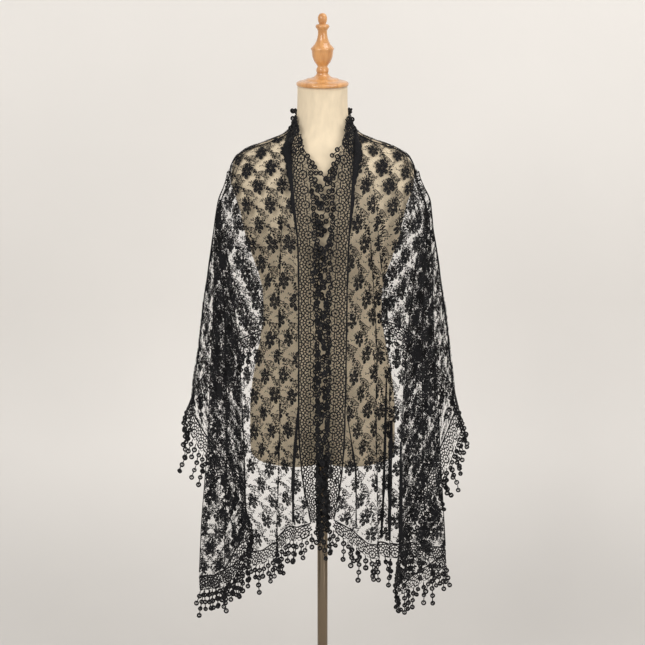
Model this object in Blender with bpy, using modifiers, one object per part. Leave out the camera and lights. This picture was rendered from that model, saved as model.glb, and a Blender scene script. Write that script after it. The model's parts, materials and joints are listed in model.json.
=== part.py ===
import math

import bmesh
import bpy
import numpy as np

# A lace shawl worn round the neck of a limbless dress form on a pole stand.
# Metres, +Z up, the front looks along -Y, the floor is Z = 0.
OBJECT = "lace_shawl"

# Sizes of the form and its stand
NECK_TOP_Z = 1.4635
FORM_BOTTOM_Z = 0.7285
FORM_SIDES = 28
POLE_RADIUS = 0.0103
BASE_RADIUS = 0.175
BASE_THICKNESS = 0.010
BOSS_RADIUS = 0.022
BOSS_TOP_Z = 0.034
SEAT_GAP = 0.0003

# Sizes of the cloth
CLOTH_WALL = 0.0012
SEAM_GAP = 0.0007
FRINGE_GAP = 0.0006
TRIM_WIDTH = 0.031
END_GAP = 0.0006
TRIM_REPEAT = 0.024
TRIM_HOLE_LENGTH = 0.0105
TRIM_HOLE_WIDTH = 0.0075
TRIM_HOLE_PLACE = 0.66
BODY_CLEARANCE = 0.0030
RIDGE_CLEARANCE = 0.0016
RIDGE_PARTING = 0.0011
BODY_LEAST = 0.0015
FRINGE_SPACING = 0.020
FRINGE_LENGTHS = (0.041, 0.030, 0.046, 0.034, 0.038, 0.028)
FRINGE_ROOT = 0.0026
FRINGE_TIP = 0.0017
FRINGE_BAND = 0.0030

# Height, half width, front, back, corner power of the form's level sections
FORM_SECTIONS = (
    (1.4635, 0.0440, -0.0440, 0.0440, 2.0),
    (1.4400, 0.0440, -0.0440, 0.0445, 2.0),
    (1.4100, 0.0450, -0.0455, 0.0465, 2.0),
    (1.3930, 0.0495, -0.0490, 0.0510, 2.0),
    (1.3810, 0.0575, -0.0530, 0.0560, 2.0),
    (1.3700, 0.0735, -0.0575, 0.0620, 2.0),
    (1.3600, 0.0960, -0.0620, 0.0680, 2.0),
    (1.3500, 0.1230, -0.0670, 0.0740, 2.0),
    (1.3400, 0.1470, -0.0715, 0.0790, 2.1),
    (1.3270, 0.1640, -0.0765, 0.0840, 2.2),
    (1.3080, 0.1740, -0.0835, 0.0895, 2.3),
    (1.2850, 0.1765, -0.0925, 0.0940, 2.3),
    (1.2600, 0.1705, -0.1015, 0.0965, 2.3),
    (1.2330, 0.1605, -0.1095, 0.0970, 2.3),
    (1.2030, 0.1540, -0.1150, 0.0950, 2.3),
    (1.1700, 0.1470, -0.1135, 0.0910, 2.2),
    (1.1350, 0.1350, -0.1055, 0.0850, 2.2),
    (1.0980, 0.1230, -0.0955, 0.0790, 2.2),
    (1.0600, 0.1160, -0.0890, 0.0760, 2.2),
    (1.0200, 0.1150, -0.0870, 0.0760, 2.2),
    (0.9780, 0.1205, -0.0890, 0.0815, 2.2),
    (0.9300, 0.1295, -0.0950, 0.0930, 2.2),
    (0.8800, 0.1385, -0.1000, 0.1050, 2.2),
    (0.8280, 0.1435, -0.1030, 0.1120, 2.3),
    (0.7750, 0.1440, -0.1040, 0.1130, 2.3),
    (0.7430, 0.1430, -0.1030, 0.1105, 2.4),
    (0.7320, 0.1385, -0.0985, 0.1060, 2.4),
    (0.7285, 0.1290, -0.0900, 0.0970, 2.4),
)

# Radius and height of the turned cap and finial, down its outer side
CAP_PROFILE = (
    (0.0000, 1.6005),
    (0.0052, 1.5992),
    (0.0088, 1.5930),
    (0.0080, 1.5838),
    (0.0062, 1.5800),
    (0.0108, 1.5795),
    (0.0135, 1.5752),
    (0.0105, 1.5706),
    (0.0087, 1.5666),
    (0.0100, 1.5540),
    (0.0150, 1.5420),
    (0.0222, 1.5340),
    (0.0204, 1.5296),
    (0.0196, 1.5200),
    (0.0148, 1.5080),
    (0.0093, 1.5006),
    (0.0116, 1.4962),
    (0.0116, 1.4896),
    (0.0104, 1.4880),
    (0.0172, 1.4800),
    (0.0300, 1.4772),
    (0.0330, 1.4748),
    (0.0455, 1.4722),
    (0.0498, 1.4690),
    (0.0498, 1.4656),
    (0.0482, 1.4638),
    (0.0000, 1.4638),
)

# Name, place on the shoulder ridge, fold wave and lower end of each column of a
# front panel, from its centre edge outwards; left panel, then right panel
FRONT_COLUMNS_LEFT = (
    ("edge", 0.0610, 0.0, 0.6265),
    ("a", 0.0700, -0.7, 0.6220),
    ("b", 0.0785, 1.0, 0.6130),
    ("c", 0.0875, -1.0, 0.5930),
    ("d", 0.0990, -0.2, 0.5680),
    ("e", 0.1110, 0.8, 0.5490),
    ("f", 0.1230, -1.0, 0.5240),
    ("g", 0.1350, 0.0, 0.4950),
    ("turn1a", 0.1460, 0.0, 0.4810),
    ("turn1b", 0.1515, 0.0, 0.4780),
    ("turn1c", 0.1555, 0.0, 0.4785),
    ("inner1", 0.1595, 0.0, 0.4820),
    ("inner2", 0.1630, 0.0, 0.5270),
    ("turn2a", 0.1660, 0.0, 0.5660),
    ("turn2b", 0.1690, 0.0, 0.6200),
    ("turn2c", 0.1720, 0.0, 0.6760),
    ("outer1", 0.1755, 0.0, 0.7120),
    ("outer2", 0.1795, 0.0, 0.7640),
    ("ridge", 0.1835, 0.0, 0.8220),
)
FRONT_COLUMNS_RIGHT = (
    ("edge", 0.0610, 0.0, 0.6330),
    ("a", 0.0700, -0.6, 0.6210),
    ("b", 0.0785, 0.7, 0.6010),
    ("c", 0.0875, -0.8, 0.5830),
    ("d", 0.0990, 0.9, 0.5780),
    ("e", 0.1110, -1.0, 0.5760),
    ("f", 0.1230, 0.3, 0.5680),
    ("g", 0.1350, -0.5, 0.5560),
    ("turn1a", 0.1460, 0.0, 0.5440),
    ("turn1b", 0.1515, 0.0, 0.5360),
    ("turn1c", 0.1555, 0.0, 0.5240),
    ("inner1", 0.1595, 0.0, 0.4960),
    ("inner2", 0.1630, 0.0, 0.4740),
    ("turn2a", 0.1660, 0.0, 0.4560),
    ("turn2b", 0.1690, 0.0, 0.5140),
    ("turn2c", 0.1720, 0.0, 0.5760),
    ("outer1", 0.1755, 0.0, 0.6420),
    ("outer2", 0.1795, 0.0, 0.7300),
    ("ridge", 0.1860, 0.0, 0.8220),
)
# Which column of each front panel holds the shawl's lower corner
CORNER_LEFT = 11
CORNER_RIGHT = 13

# Height and distance from the middle of the centre edge, left and right
EDGE_LEFT = (
    (1.345, 0.0595), (1.285, 0.0560), (1.245, 0.0520), (1.150, 0.0450), (0.840, 0.0455),
    (0.737, 0.0405), (0.633, 0.0235), (0.460, 0.0100),
)
EDGE_RIGHT = (
    (1.345, 0.0600), (1.285, 0.0560), (1.245, 0.0530), (1.150, 0.0480), (0.840, 0.0430),
    (0.737, 0.0380), (0.633, 0.0225), (0.460, 0.0100),
)
# Height and half width of the first fold (front), the second fold (hidden) and the ridge
FOLD1_LEFT = (
    (1.300, 0.1790), (1.277, 0.1890), (1.230, 0.2020), (1.190, 0.2076), (1.130, 0.2085),
    (1.070, 0.2103), (0.990, 0.2144), (0.910, 0.2195), (0.850, 0.2223), (0.786, 0.2252),
    (0.726, 0.2301), (0.664, 0.2358), (0.609, 0.2407), (0.533, 0.2463), (0.460, 0.2495),
)
FOLD1_RIGHT = (
    (1.300, 0.1800), (1.277, 0.1890), (1.230, 0.2020), (1.190, 0.2076), (1.131, 0.2104),
    (1.072, 0.2132), (0.992, 0.2163), (0.911, 0.2214), (0.856, 0.2262), (0.813, 0.2292),
    (0.740, 0.2331), (0.652, 0.2392), (0.600, 0.2440), (0.542, 0.2470), (0.460, 0.2500),
)
FOLD2 = (
    (1.300, 0.1780), (1.250, 0.1865), (1.190, 0.1880), (1.100, 0.1790), (1.000, 0.1690),
    (0.920, 0.1630), (0.820, 0.1585), (0.700, 0.1550), (0.600, 0.1540), (0.440, 0.1560),
)
RIDGE_LEFT = (
    (1.300, 0.1872), (1.277, 0.1927), (1.230, 0.2041), (1.193, 0.2103), (1.155, 0.2165),
    (1.117, 0.2225), (1.064, 0.2313), (1.023, 0.2380), (0.961, 0.2449), (0.919, 0.2517),
    (0.877, 0.2585), (0.845, 0.2631), (0.800, 0.2660),
)
RIDGE_RIGHT = (
    (1.300, 0.1930), (1.277, 0.1991), (1.240, 0.2087), (1.193, 0.2149), (1.155, 0.2211),
    (1.117, 0.2291), (1.064, 0.2354), (1.023, 0.2441), (0.961, 0.2510), (0.919, 0.2575),
    (0.877, 0.2620), (0.845, 0.2658), (0.800, 0.2680),
)

# Height, then distance back (Y) of the centre edge, first fold and ridge
EDGE_DEPTH = (
    (1.345, -0.060), (1.285, -0.100), (1.245, -0.117), (1.200, -0.122), (1.100, -0.127),
    (0.840, -0.130), (0.737, -0.126), (0.633, -0.121), (0.460, -0.118),
)
FOLD1_DEPTH = (
    (1.330, -0.004), (1.300, -0.010), (1.230, -0.024), (1.150, -0.032), (0.800, -0.034),
    (0.460, -0.030),
)
RIDGE_DEPTH = ((1.330, 0.001), (1.250, 0.005), (1.150, 0.010), (0.800, 0.012))
# Height and how far open the folds stand, and how deep the front folds wave
FOLD_OPEN = (
    (1.345, 0.0), (1.310, 0.04), (1.260, 0.22), (1.200, 0.60), (1.120, 1.0), (0.40, 1.0),
)
WAVE_DEPTH = (
    (1.360, 0.0), (1.300, 0.0013), (1.200, 0.0032), (1.050, 0.0064), (0.850, 0.0080),
    (0.700, 0.0092), (0.460, 0.0112),
)
# How far each front column lies from the centre edge to the first fold
FRONT_SPREAD_LEFT = (0.0, 0.110, 0.215, 0.310, 0.430, 0.575, 0.715, 0.860)
FRONT_SPREAD_RIGHT = (0.0, 0.110, 0.210, 0.320, 0.440, 0.570, 0.715, 0.860)
FRONT_BOW = (0.0, 0.030, 0.066, 0.118, 0.200, 0.350, 0.560, 0.790)
# Shares of a column's height at which the panels have a row
FRONT_ROWS = (
    0.0, 0.008, 0.028, 0.065, 0.115, 0.175, 0.250, 0.335, 0.430, 0.530, 0.630, 0.740, 0.865, 1.0,
)
BACK_ROWS = (
    0.0, 0.012, 0.040, 0.080, 0.130, 0.190, 0.260, 0.350, 0.460, 0.590, 0.720, 0.860, 1.0,
)

# Name, place on the shoulder ridge or nape, half width and depth at half height,
# half width, depth and height at the lower edge of the back panel's columns
BACK_COLUMNS_LEFT = (
    ("ridge", 0.1835, 0.2265, 0.0115, 0.2642, 0.0135, 0.8220),
    ("k1", 0.1760, 0.2180, 0.0210, 0.2580, 0.0390, 0.8500),
    ("k2", 0.1660, 0.2060, 0.0350, 0.2420, 0.0600, 0.8700),
    ("k3", 0.1520, 0.1890, 0.0520, 0.2160, 0.0800, 0.8960),
    ("k4", 0.1340, 0.1650, 0.0700, 0.1780, 0.0990, 0.9300),
    ("k5", 0.1140, 0.1360, 0.0850, 0.1400, 0.1100, 0.9500),
    ("k6", 0.0930, 0.1070, 0.0950, 0.1080, 0.1150, 0.9570),
    ("k7", 0.0760, 0.0840, 0.1000, 0.0840, 0.1175, 0.9540),
    ("k8", 0.0610, 0.0640, 0.1025, 0.0640, 0.1190, 0.9500),
    ("k9", 0.0450, 0.0460, 0.1040, 0.0460, 0.1200, 0.9460),
    ("k10", 0.0300, 0.0300, 0.1050, 0.0300, 0.1205, 0.9430),
    ("k11", 0.0150, 0.0150, 0.1055, 0.0150, 0.1210, 0.9415),
)
BACK_MIDDLE = ("middle", 0.0, 0.0, 0.1055, 0.0, 0.1210, 0.9410)
BACK_COLUMNS_RIGHT = (
    ("ridge", 0.1860, 0.2310, 0.0115, 0.2665, 0.0135, 0.8220),
    ("k1", 0.1760, 0.2220, 0.0210, 0.2632, 0.0400, 0.8530),
    ("k2", 0.1660, 0.2100, 0.0350, 0.2450, 0.0600, 0.8750),
    ("k3", 0.1520, 0.1920, 0.0520, 0.2180, 0.0800, 0.9060),
    ("k4", 0.1340, 0.1670, 0.0700, 0.1800, 0.0990, 0.9520),
    ("k5", 0.1140, 0.1370, 0.0850, 0.1420, 0.1100, 0.9700),
    ("k6", 0.0930, 0.1080, 0.0950, 0.1100, 0.1150, 0.9700),
    ("k7", 0.0760, 0.0840, 0.1000, 0.0850, 0.1175, 0.9640),
    ("k8", 0.0610, 0.0640, 0.1025, 0.0640, 0.1190, 0.9560),
    ("k9", 0.0450, 0.0460, 0.1040, 0.0460, 0.1200, 0.9490),
    ("k10", 0.0300, 0.0300, 0.1050, 0.0300, 0.1205, 0.9440),
    ("k11", 0.0150, 0.0150, 0.1055, 0.0150, 0.1210, 0.9420),
)
NAPE_Z = 1.3880

# Direction of the trim's width by height along the centre edge: inwards, back, up
EDGE_TRIM_TURN = (
    (1.385, -0.45, 0.00, 0.90),
    (1.372, -0.50, -0.25, 0.82),
    (1.350, -0.76, -0.25, 0.58),
    (1.310, -0.95, -0.22, 0.25),
    (1.270, -1.00, -0.10, 0.06),
    (1.150, -1.00, -0.02, 0.00),
    (0.800, -1.00, 0.06, 0.00),
    (0.720, -0.86, 0.50, 0.00),
    (0.640, -0.45, 0.85, -0.24),
    (0.600, -0.30, 0.80, -0.52),
)
# Trim direction round the lower corner and up the free edge: outwards, back, up
SIDE_TRIM_LEFT = {
    10: (0.02, 0.00, -1.00),
    11: (-0.30, 0.02, -0.95),
    12: (-0.62, 0.10, -0.78),
    13: (-0.62, 0.34, -0.70),
    14: (-0.06, 0.72, -0.69),
    15: (0.45, 0.40, -0.80),
    16: (0.68, 0.08, -0.73),
    17: (0.66, 0.02, -0.75),
    18: (0.44, 0.02, -0.90),
}
SIDE_TRIM_RIGHT = {
    10: (0.02, 0.00, -1.00),
    11: (-0.04, 0.00, -1.00),
    12: (-0.06, 0.02, -1.00),
    13: (-0.34, 0.30, -0.90),
    14: (-0.06, 0.88, -0.48),
    15: (0.50, 0.60, -0.62),
    16: (0.72, 0.12, -0.68),
    17: (0.72, 0.02, -0.69),
    18: (0.44, 0.02, -0.90),
}


def clear_scene():
    for item in list(bpy.data.objects):
        bpy.data.objects.remove(item, do_unlink=True)


def new_collection(name):
    found = bpy.data.collections.new(name)
    bpy.context.scene.collection.children.link(found)
    return found


def new_material(name, colour, roughness, metallic=0.0):
    made = bpy.data.materials.new(name)
    made.use_nodes = True
    shader = made.node_tree.nodes["Principled BSDF"]
    shader.inputs["Base Color"].default_value = (*colour, 1.0)
    shader.inputs["Roughness"].default_value = roughness
    shader.inputs["Metallic"].default_value = metallic
    made.diffuse_color = (*colour, 1.0)
    return made


def new_object(name, points, faces, parts, material, smooth=True):
    mesh = bpy.data.meshes.new(name)
    mesh.from_pydata([tuple(map(float, p)) for p in points], [], faces)
    mesh.update()
    work = bmesh.new()
    work.from_mesh(mesh)
    bmesh.ops.recalc_face_normals(work, faces=work.faces)
    work.to_mesh(mesh)
    work.free()
    for face in mesh.polygons:
        face.use_smooth = smooth
    mesh.materials.append(material)
    made = bpy.data.objects.new(name, mesh)
    parts.objects.link(made)
    return made


def along(table, at, column=1):
    """The value of a table's column at a height, through its rows with no overshoot."""
    rows = sorted(table)
    xs = [row[0] for row in rows]
    ys = [row[column] for row in rows]
    if at <= xs[0]:
        return ys[0]
    if at >= xs[-1]:
        return ys[-1]
    i = max(k for k in range(len(xs) - 1) if xs[k] <= at)
    steps = [xs[k + 1] - xs[k] for k in range(len(xs) - 1)]
    slopes = [(ys[k + 1] - ys[k]) / steps[k] for k in range(len(xs) - 1)]

    def tangent(k):
        if k == 0 or k == len(xs) - 1:
            return slopes[0] if k == 0 else slopes[-1]
        if slopes[k - 1] * slopes[k] <= 0:
            return 0.0
        w1 = 2 * steps[k] + steps[k - 1]
        w2 = steps[k] + 2 * steps[k - 1]
        return (w1 + w2) / (w1 / slopes[k - 1] + w2 / slopes[k])

    h = steps[i]
    t = (at - xs[i]) / h
    m0 = tangent(i) * h
    m1 = tangent(i + 1) * h
    return (
        (2 * t**3 - 3 * t**2 + 1) * ys[i]
        + (t**3 - 2 * t**2 + t) * m0
        + (3 * t**2 - 2 * t**3) * ys[i + 1]
        + (t**3 - t**2) * m1
    )


FINE_Z = np.linspace(FORM_BOTTOM_Z, NECK_TOP_Z, 1471)
FINE_SECTIONS = np.array([[along(FORM_SECTIONS, z, c) for z in FINE_Z] for c in range(1, 5)])


def form_section(z, grow=0.0):
    """Half width, middle, half depth and power of the form's section at a height."""
    wide, front, back, power = (float(np.interp(z - grow, FINE_Z, row)) for row in FINE_SECTIONS)
    wide += grow
    front -= grow
    back += grow
    return wide, (front + back) / 2, (back - front) / 2, power


def form_depths(x, z, grow):
    """Front and back Y of the form grown by a clearance, or None beside it."""
    if z - grow > NECK_TOP_Z or z + grow < FORM_BOTTOM_Z:
        return None
    wide, middle, deep, power = form_section(z, grow)
    share = abs(x) / wide
    if share >= 1.0:
        return None
    reach = deep * (1 - share**power) ** (1 / power)
    return middle - reach, middle + reach


def ridge_height(x, grow):
    """Height at which the grown form is as wide as a point of the shoulder ridge."""
    low, high = 1.300, 1.400
    for _ in range(40):
        mid = (low + high) / 2
        if form_section(mid, grow)[0] > x:
            low = mid
        else:
            high = mid
    return low


def ridge_line(side, z, top_x, top_z):
    """Half width and depth of the side ridge, where front and back panels meet."""
    settle = min(1.0, max(0.0, (z - 1.245) / (top_z - 1.245))) ** 1.4
    x = along(RIDGE_LEFT if side < 0 else RIDGE_RIGHT, z)
    y = along(RIDGE_DEPTH, z)
    return x + (top_x - x) * settle, y * (1 - settle)


def ridge_parting(z, top_z):
    """Half the distance between the middles of the two walls along the ridge."""
    wide = (CLOTH_WALL + 0.0006) / 2
    narrow = RIDGE_PARTING / 2
    return narrow + (wide - narrow) * min(1.0, (top_z - z) / 0.003)


def form_level(points):
    """Below 0 inside the form and above it outside, for an array of points."""
    wide, front, back, power = (np.interp(points[:, 2], FINE_Z, row) for row in FINE_SECTIONS)
    middle = (front + back) / 2
    deep = (back - front) / 2
    x = (np.abs(points[:, 0]) / wide) ** power
    y = (np.abs(points[:, 1] - middle) / deep) ** power
    return (x + y) ** (1 / power) - 1


def form_distance(points):
    """Distance of points from the form's surface and the way off it."""
    step = 0.0005
    slope = np.stack(
        [form_level(points + step * a) - form_level(points - step * a) for a in np.eye(3)],
        axis=1,
    )
    slope = slope / (2 * step)
    steep = np.maximum(1e-6, np.linalg.norm(slope, axis=1))
    return form_level(points) / steep, slope / steep[:, None]


def cell_shares():
    """Weights of a cell's four corners at places over it and along its diagonals."""
    shares = []
    for u in range(5):
        for v in range(5):
            a, b = u / 4, v / 4
            shares.append(((1 - a) * (1 - b), a * (1 - b), a * b, (1 - a) * b))
    for t in (0.25, 0.5, 0.75):
        shares.append((1 - t, 0, t, 0))
        shares.append((0, 1 - t, 0, t))
    return np.array(shares)


def push_off_form(grid):
    """Moves a grid's points off the form until its cells clear it as well."""
    points = np.array(grid)
    shares = cell_shares()
    for _ in range(40):
        corners = np.stack(
            [points[:-1, :-1], points[:-1, 1:], points[1:, 1:], points[1:, :-1]], axis=2
        )
        samples = np.einsum("sc,ijcx->ijsx", shares, corners)
        off, way = form_distance(samples.reshape(-1, 3))
        near = (samples.reshape(-1, 3)[:, 2] < NECK_TOP_Z) & (
            samples.reshape(-1, 3)[:, 2] > FORM_BOTTOM_Z + 0.002
        )
        lack = np.where(near, np.maximum(0.0, BODY_LEAST - off), 0.0)
        if lack.max() < 1e-5:
            break
        push = (way * lack[:, None]).reshape(samples.shape)
        lack = lack.reshape(samples.shape[:3])
        moves = np.zeros_like(points)
        most = np.zeros(points.shape[:2])
        for c, (di, dj) in enumerate(((0, 0), (0, 1), (1, 1), (1, 0))):
            weighted = lack * shares[:, c]
            best = weighted.argmax(axis=2)
            i, j = np.indices(best.shape)
            amount = weighted[i, j, best]
            move = push[i, j, best] * shares[best, c][..., None]
            held = most[i + di, j + dj]
            wins = amount > held
            most[(i + di)[wins], (j + dj)[wins]] = amount[wins]
            moves[(i + di)[wins], (j + dj)[wins]] = move[wins]
        points = points + moves * 1.15
    return [[points[i, j] for j in range(points.shape[1])] for i in range(points.shape[0])]


def front_point(side, column, share):
    """A point of a front panel's middle surface; side -1 is the photograph's left."""
    left = side < 0
    columns = FRONT_COLUMNS_LEFT if left else FRONT_COLUMNS_RIGHT
    _, top_x, wave, low_z = columns[column]
    top_z = ridge_height(top_x, RIDGE_CLEARANCE)
    z = top_z + (low_z - top_z) * share
    open_now = along(FOLD_OPEN, z)
    edge_x = along(EDGE_LEFT if left else EDGE_RIGHT, z)
    fold1_x = along(FOLD1_LEFT if left else FOLD1_RIGHT, z)
    fold2_x = along(FOLD2, z)
    last_x = columns[-1][1]
    ridge_x, ridge_y = ridge_line(side, z, last_x, ridge_height(last_x, RIDGE_CLEARANCE))
    edge_y = along(EDGE_DEPTH, z)
    fold1_y = along(FOLD1_DEPTH, z)
    if column < 8:
        spread = (FRONT_SPREAD_LEFT if left else FRONT_SPREAD_RIGHT)[column]
        bow = FRONT_BOW[column]
        x = edge_x + (fold1_x - edge_x) * spread
        y = edge_y + (fold1_y - 0.006 * open_now - edge_y) * bow
        y += wave * along(WAVE_DEPTH, z)
    else:
        flat = (column - 8) / 10
        flat_x = fold1_x - 0.004 + (ridge_x - fold1_x + 0.004) * flat
        flat_y = fold1_y - 0.002 + (ridge_y - fold1_y + 0.002) * flat
        folded = {
            8: (fold1_x - 0.0070, fold1_y - 0.0068),
            9: (fold1_x, fold1_y - 0.0005),
            10: (fold1_x - 0.0060, fold1_y + 0.0062),
            11: (fold1_x - 0.44 * (fold1_x - fold2_x), fold1_y + 0.0100),
            12: (fold1_x - 0.74 * (fold1_x - fold2_x), fold1_y + 0.0140),
            13: (fold2_x + 0.0055, fold1_y + 0.0180),
            14: (fold2_x, fold1_y + 0.0240),
            15: (fold2_x + 0.0060, fold1_y + 0.0300),
            16: (fold2_x + 0.34 * (ridge_x - fold2_x), ridge_y - 0.0100),
            17: (fold2_x + 0.68 * (ridge_x - fold2_x), ridge_y - 0.0046),
            18: (ridge_x, ridge_y),
        }[column]
        x = flat_x + (folded[0] - flat_x) * open_now
        y = flat_y + (folded[1] - flat_y) * open_now
    if column == len(columns) - 1:
        return np.array((side * ridge_x, ridge_y - ridge_parting(z, top_z), z))
    settle = max(0.0, 1 - share / 0.115) ** 1.4
    x = x + (top_x - x) * settle
    y = y * (1 - settle) - ridge_parting(z, top_z)
    grow = RIDGE_CLEARANCE + (BODY_CLEARANCE - RIDGE_CLEARANCE) * min(1.0, share / 0.028)
    body = form_depths(x, z, grow)
    if body and column < 13:
        y = min(y, body[0])
    return np.array((side * x, y, z))


def back_columns():
    return (
        [(-1, row) for row in BACK_COLUMNS_LEFT]
        + [(1, BACK_MIDDLE)]
        + [(1, row) for row in reversed(BACK_COLUMNS_RIGHT)]
    )


def back_point(column, share):
    """A point of the back panel's middle surface, columns from left ridge to right."""
    side, (name, top_x, mid_x, mid_y, low_x, low_y, low_z) = back_columns()[column]
    if top_x >= 0.061:
        top_z = ridge_height(top_x, RIDGE_CLEARANCE)
        top_y = 0.0
    else:
        top_z = NAPE_Z - (NAPE_Z - ridge_height(0.061, RIDGE_CLEARANCE)) * (top_x / 0.061) ** 2
        top_y = form_depths(top_x, top_z, BODY_CLEARANCE)[1]
    z = top_z + (low_z - top_z) * share
    if name == "ridge":
        x, y = ridge_line(side, z, top_x, top_z)
        return np.array((side * x, y + ridge_parting(z, top_z), z))
    keys = ((0.0, top_x, top_y), (0.46, mid_x, mid_y), (1.0, low_x, low_y))
    x = along(keys, share, 1)
    y = along(keys, share, 2) + ridge_parting(z, top_z)
    grow = RIDGE_CLEARANCE + (BODY_CLEARANCE - RIDGE_CLEARANCE) * min(1.0, share / 0.045)
    body = form_depths(x, z, grow)
    if body:
        y = max(y, body[1])
    return np.array((side * x, y, z))


def sheet_object(name, grid, parts, material):
    """A panel: an open grid of points given its wall."""
    rows = len(grid)
    wide = len(grid[0])
    points = [p for row in grid for p in row]
    faces = [
        (i * wide + j, i * wide + j + 1, (i + 1) * wide + j + 1, (i + 1) * wide + j)
        for i in range(rows - 1)
        for j in range(wide - 1)
    ]
    made = new_object(name, points, faces, parts, material)
    wall = made.modifiers.new("wall", "SOLIDIFY")
    wall.thickness = CLOTH_WALL
    wall.offset = 0.0
    return made


def unit(v):
    return np.asarray(v, float) / max(1e-9, float(np.linalg.norm(v)))


def square_offset(line, k, way, gap):
    """How far to go along a slanted way so as to stand off a line by a gap."""
    before = line[max(0, k - 1)]
    after = line[min(len(line) - 1, k + 1)]
    least = 1.0
    for a, b in ((before, line[k]), (line[k], after)):
        if np.linalg.norm(b - a) > 1e-6:
            least = min(least, float(np.linalg.norm(np.cross(unit(b - a), unit(way)))))
    return gap / max(0.45, least)


def trim_rails(edge, turns):
    """Inner and outer rail of a trim beside an edge, cut to cells of about one repeat."""
    gaps = [square_offset(edge, k, turns[k], SEAM_GAP) for k in range(len(edge))]
    inner = [p + g * unit(d) for p, d, g in zip(edge, turns, gaps)]
    outer = [p + g * unit(d) + TRIM_WIDTH * d for p, d, g in zip(edge, turns, gaps)]
    rails = [(inner[0], outer[0])]
    for k in range(len(edge) - 1):
        long = np.linalg.norm(edge[k + 1] - edge[k])
        cells = max(1, round(long / TRIM_REPEAT))
        for c in range(1, cells + 1):
            t = c / cells
            a = inner[k] + (inner[k + 1] - inner[k]) * t
            b = outer[k] + (outer[k + 1] - outer[k]) * t
            rails.append((a, b))
    for end, near in ((0, 1), (-1, -2)):
        a, b = rails[end]
        way = unit(rails[near][0] - a)
        out = unit(b - a)
        square = max(0.40, float(np.linalg.norm(np.cross(way, out))))
        shift = way * END_GAP / square
        rails[end] = (a + shift, b + shift)
    return rails


def clear_of_form(p):
    """The point, moved off the form in Y where it would touch it."""
    body = form_depths(p[0], p[2], BODY_CLEARANCE)
    if body is None:
        return p
    middle = (body[0] + body[1]) / 2
    if p[1] < middle:
        return np.array((p[0], min(p[1], body[0]), p[2]))
    return np.array((p[0], max(p[1], body[1]), p[2]))


def trim_object(name, rails, parts, material):
    """A trim: one cell for each repeat, with its largest gap cut through."""
    points = []
    faces = []
    for a, b in rails:
        points += [a, b]
    for k in range(len(rails) - 1):
        a0, b0 = rails[k]
        a1, b1 = rails[k + 1]
        long = min(np.linalg.norm(a1 - a0), np.linalg.norm(b1 - b0))
        ring = (2 * k, 2 * k + 2, 2 * k + 3, 2 * k + 1)
        if long < TRIM_HOLE_LENGTH + 0.006:
            faces.append(ring)
            continue
        share = TRIM_HOLE_LENGTH / long / 2
        high = TRIM_HOLE_WIDTH / TRIM_WIDTH / 2
        start = len(points)
        for u, v in (
            (0.5 - share, TRIM_HOLE_PLACE - high),
            (0.5 + share, TRIM_HOLE_PLACE - high),
            (0.5 + share, TRIM_HOLE_PLACE + high),
            (0.5 - share, TRIM_HOLE_PLACE + high),
        ):
            low = a0 + (a1 - a0) * u
            top = b0 + (b1 - b0) * u
            points.append(low + (top - low) * v)
        for c in range(4):
            d = (c + 1) % 4
            faces.append((ring[c], ring[d], start + d, start + c))
    made = new_object(name, points, faces, parts, material)
    wall = made.modifiers.new("wall", "SOLIDIFY")
    wall.thickness = CLOTH_WALL
    wall.offset = 0.0
    return made


def fringe_object(name, rails, hang, parts, material, first=0, facing=1):
    """A fringe: strands of three sides whose roots join in a narrow band."""
    inner = [a for a, b in rails]
    outer = [b for a, b in rails]
    points = []
    faces = []
    sections = []
    since = FRINGE_SPACING
    strand = first
    for k in range(len(outer)):
        here = outer[k]
        out = unit(here - inner[k])
        way = unit(outer[min(k + 1, len(outer) - 1)] - outer[max(k - 1, 0)])
        if k == 0:
            here = here + way * 0.0030
        if k == len(outer) - 1:
            here = here - way * 0.0030
        normal = unit(np.cross(way, out)) * facing
        top = here + square_offset(outer, k, out, FRINGE_GAP) * out
        root = top + FRINGE_BAND * out
        if k:
            since += float(np.linalg.norm(outer[k] - outer[k - 1]))
        start = len(points)
        bare = hang(here, out, strand + 1) is None
        if bare or (since < 0.6 * FRINGE_SPACING and 0 < k < len(outer) - 1):
            points += [top, root + normal * 0.0009, root - normal * 0.0011]
            sections.append((start, start + 1, start + 1, start + 2))
            continue
        since = 0.0
        strand += 1
        falls = unit(hang(here, out, strand)) * FRINGE_LENGTHS[strand % len(FRINGE_LENGTHS)]
        tip = root + falls
        across = way - unit(falls) * float(np.dot(way, unit(falls)))
        across = unit(across) if np.linalg.norm(across) > 0.2 else unit(np.cross(normal, falls))
        points += [
            top,
            root - way * FRINGE_ROOT / 2 + normal * 0.0009,
            root + way * FRINGE_ROOT / 2 + normal * 0.0009,
            root - normal * 0.0011,
            tip - across * FRINGE_TIP / 2 + normal * 0.0007,
            tip + across * FRINGE_TIP / 2 + normal * 0.0007,
            tip - normal * 0.0009,
        ]
        t, l, r, b, e, f, g = range(start, start + 7)
        sections.append((t, l, r, b))
        faces += [(t, l, r), (l, e, f, r), (r, f, g, b), (b, g, e, l), (e, g, f)]
    for (t, l, r, b), (t2, l2, r2, b2) in zip(sections, sections[1:]):
        faces += [(t, r, l2, t2), (t, t2, b2, b), (r, b, b2, l2)]
    t, l, r, b = sections[0]
    faces.append((t, b, l))
    t, l, r, b = sections[-1]
    faces.append((t, r, b))
    return new_object(name, points, faces, parts, material, smooth=False)


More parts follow.
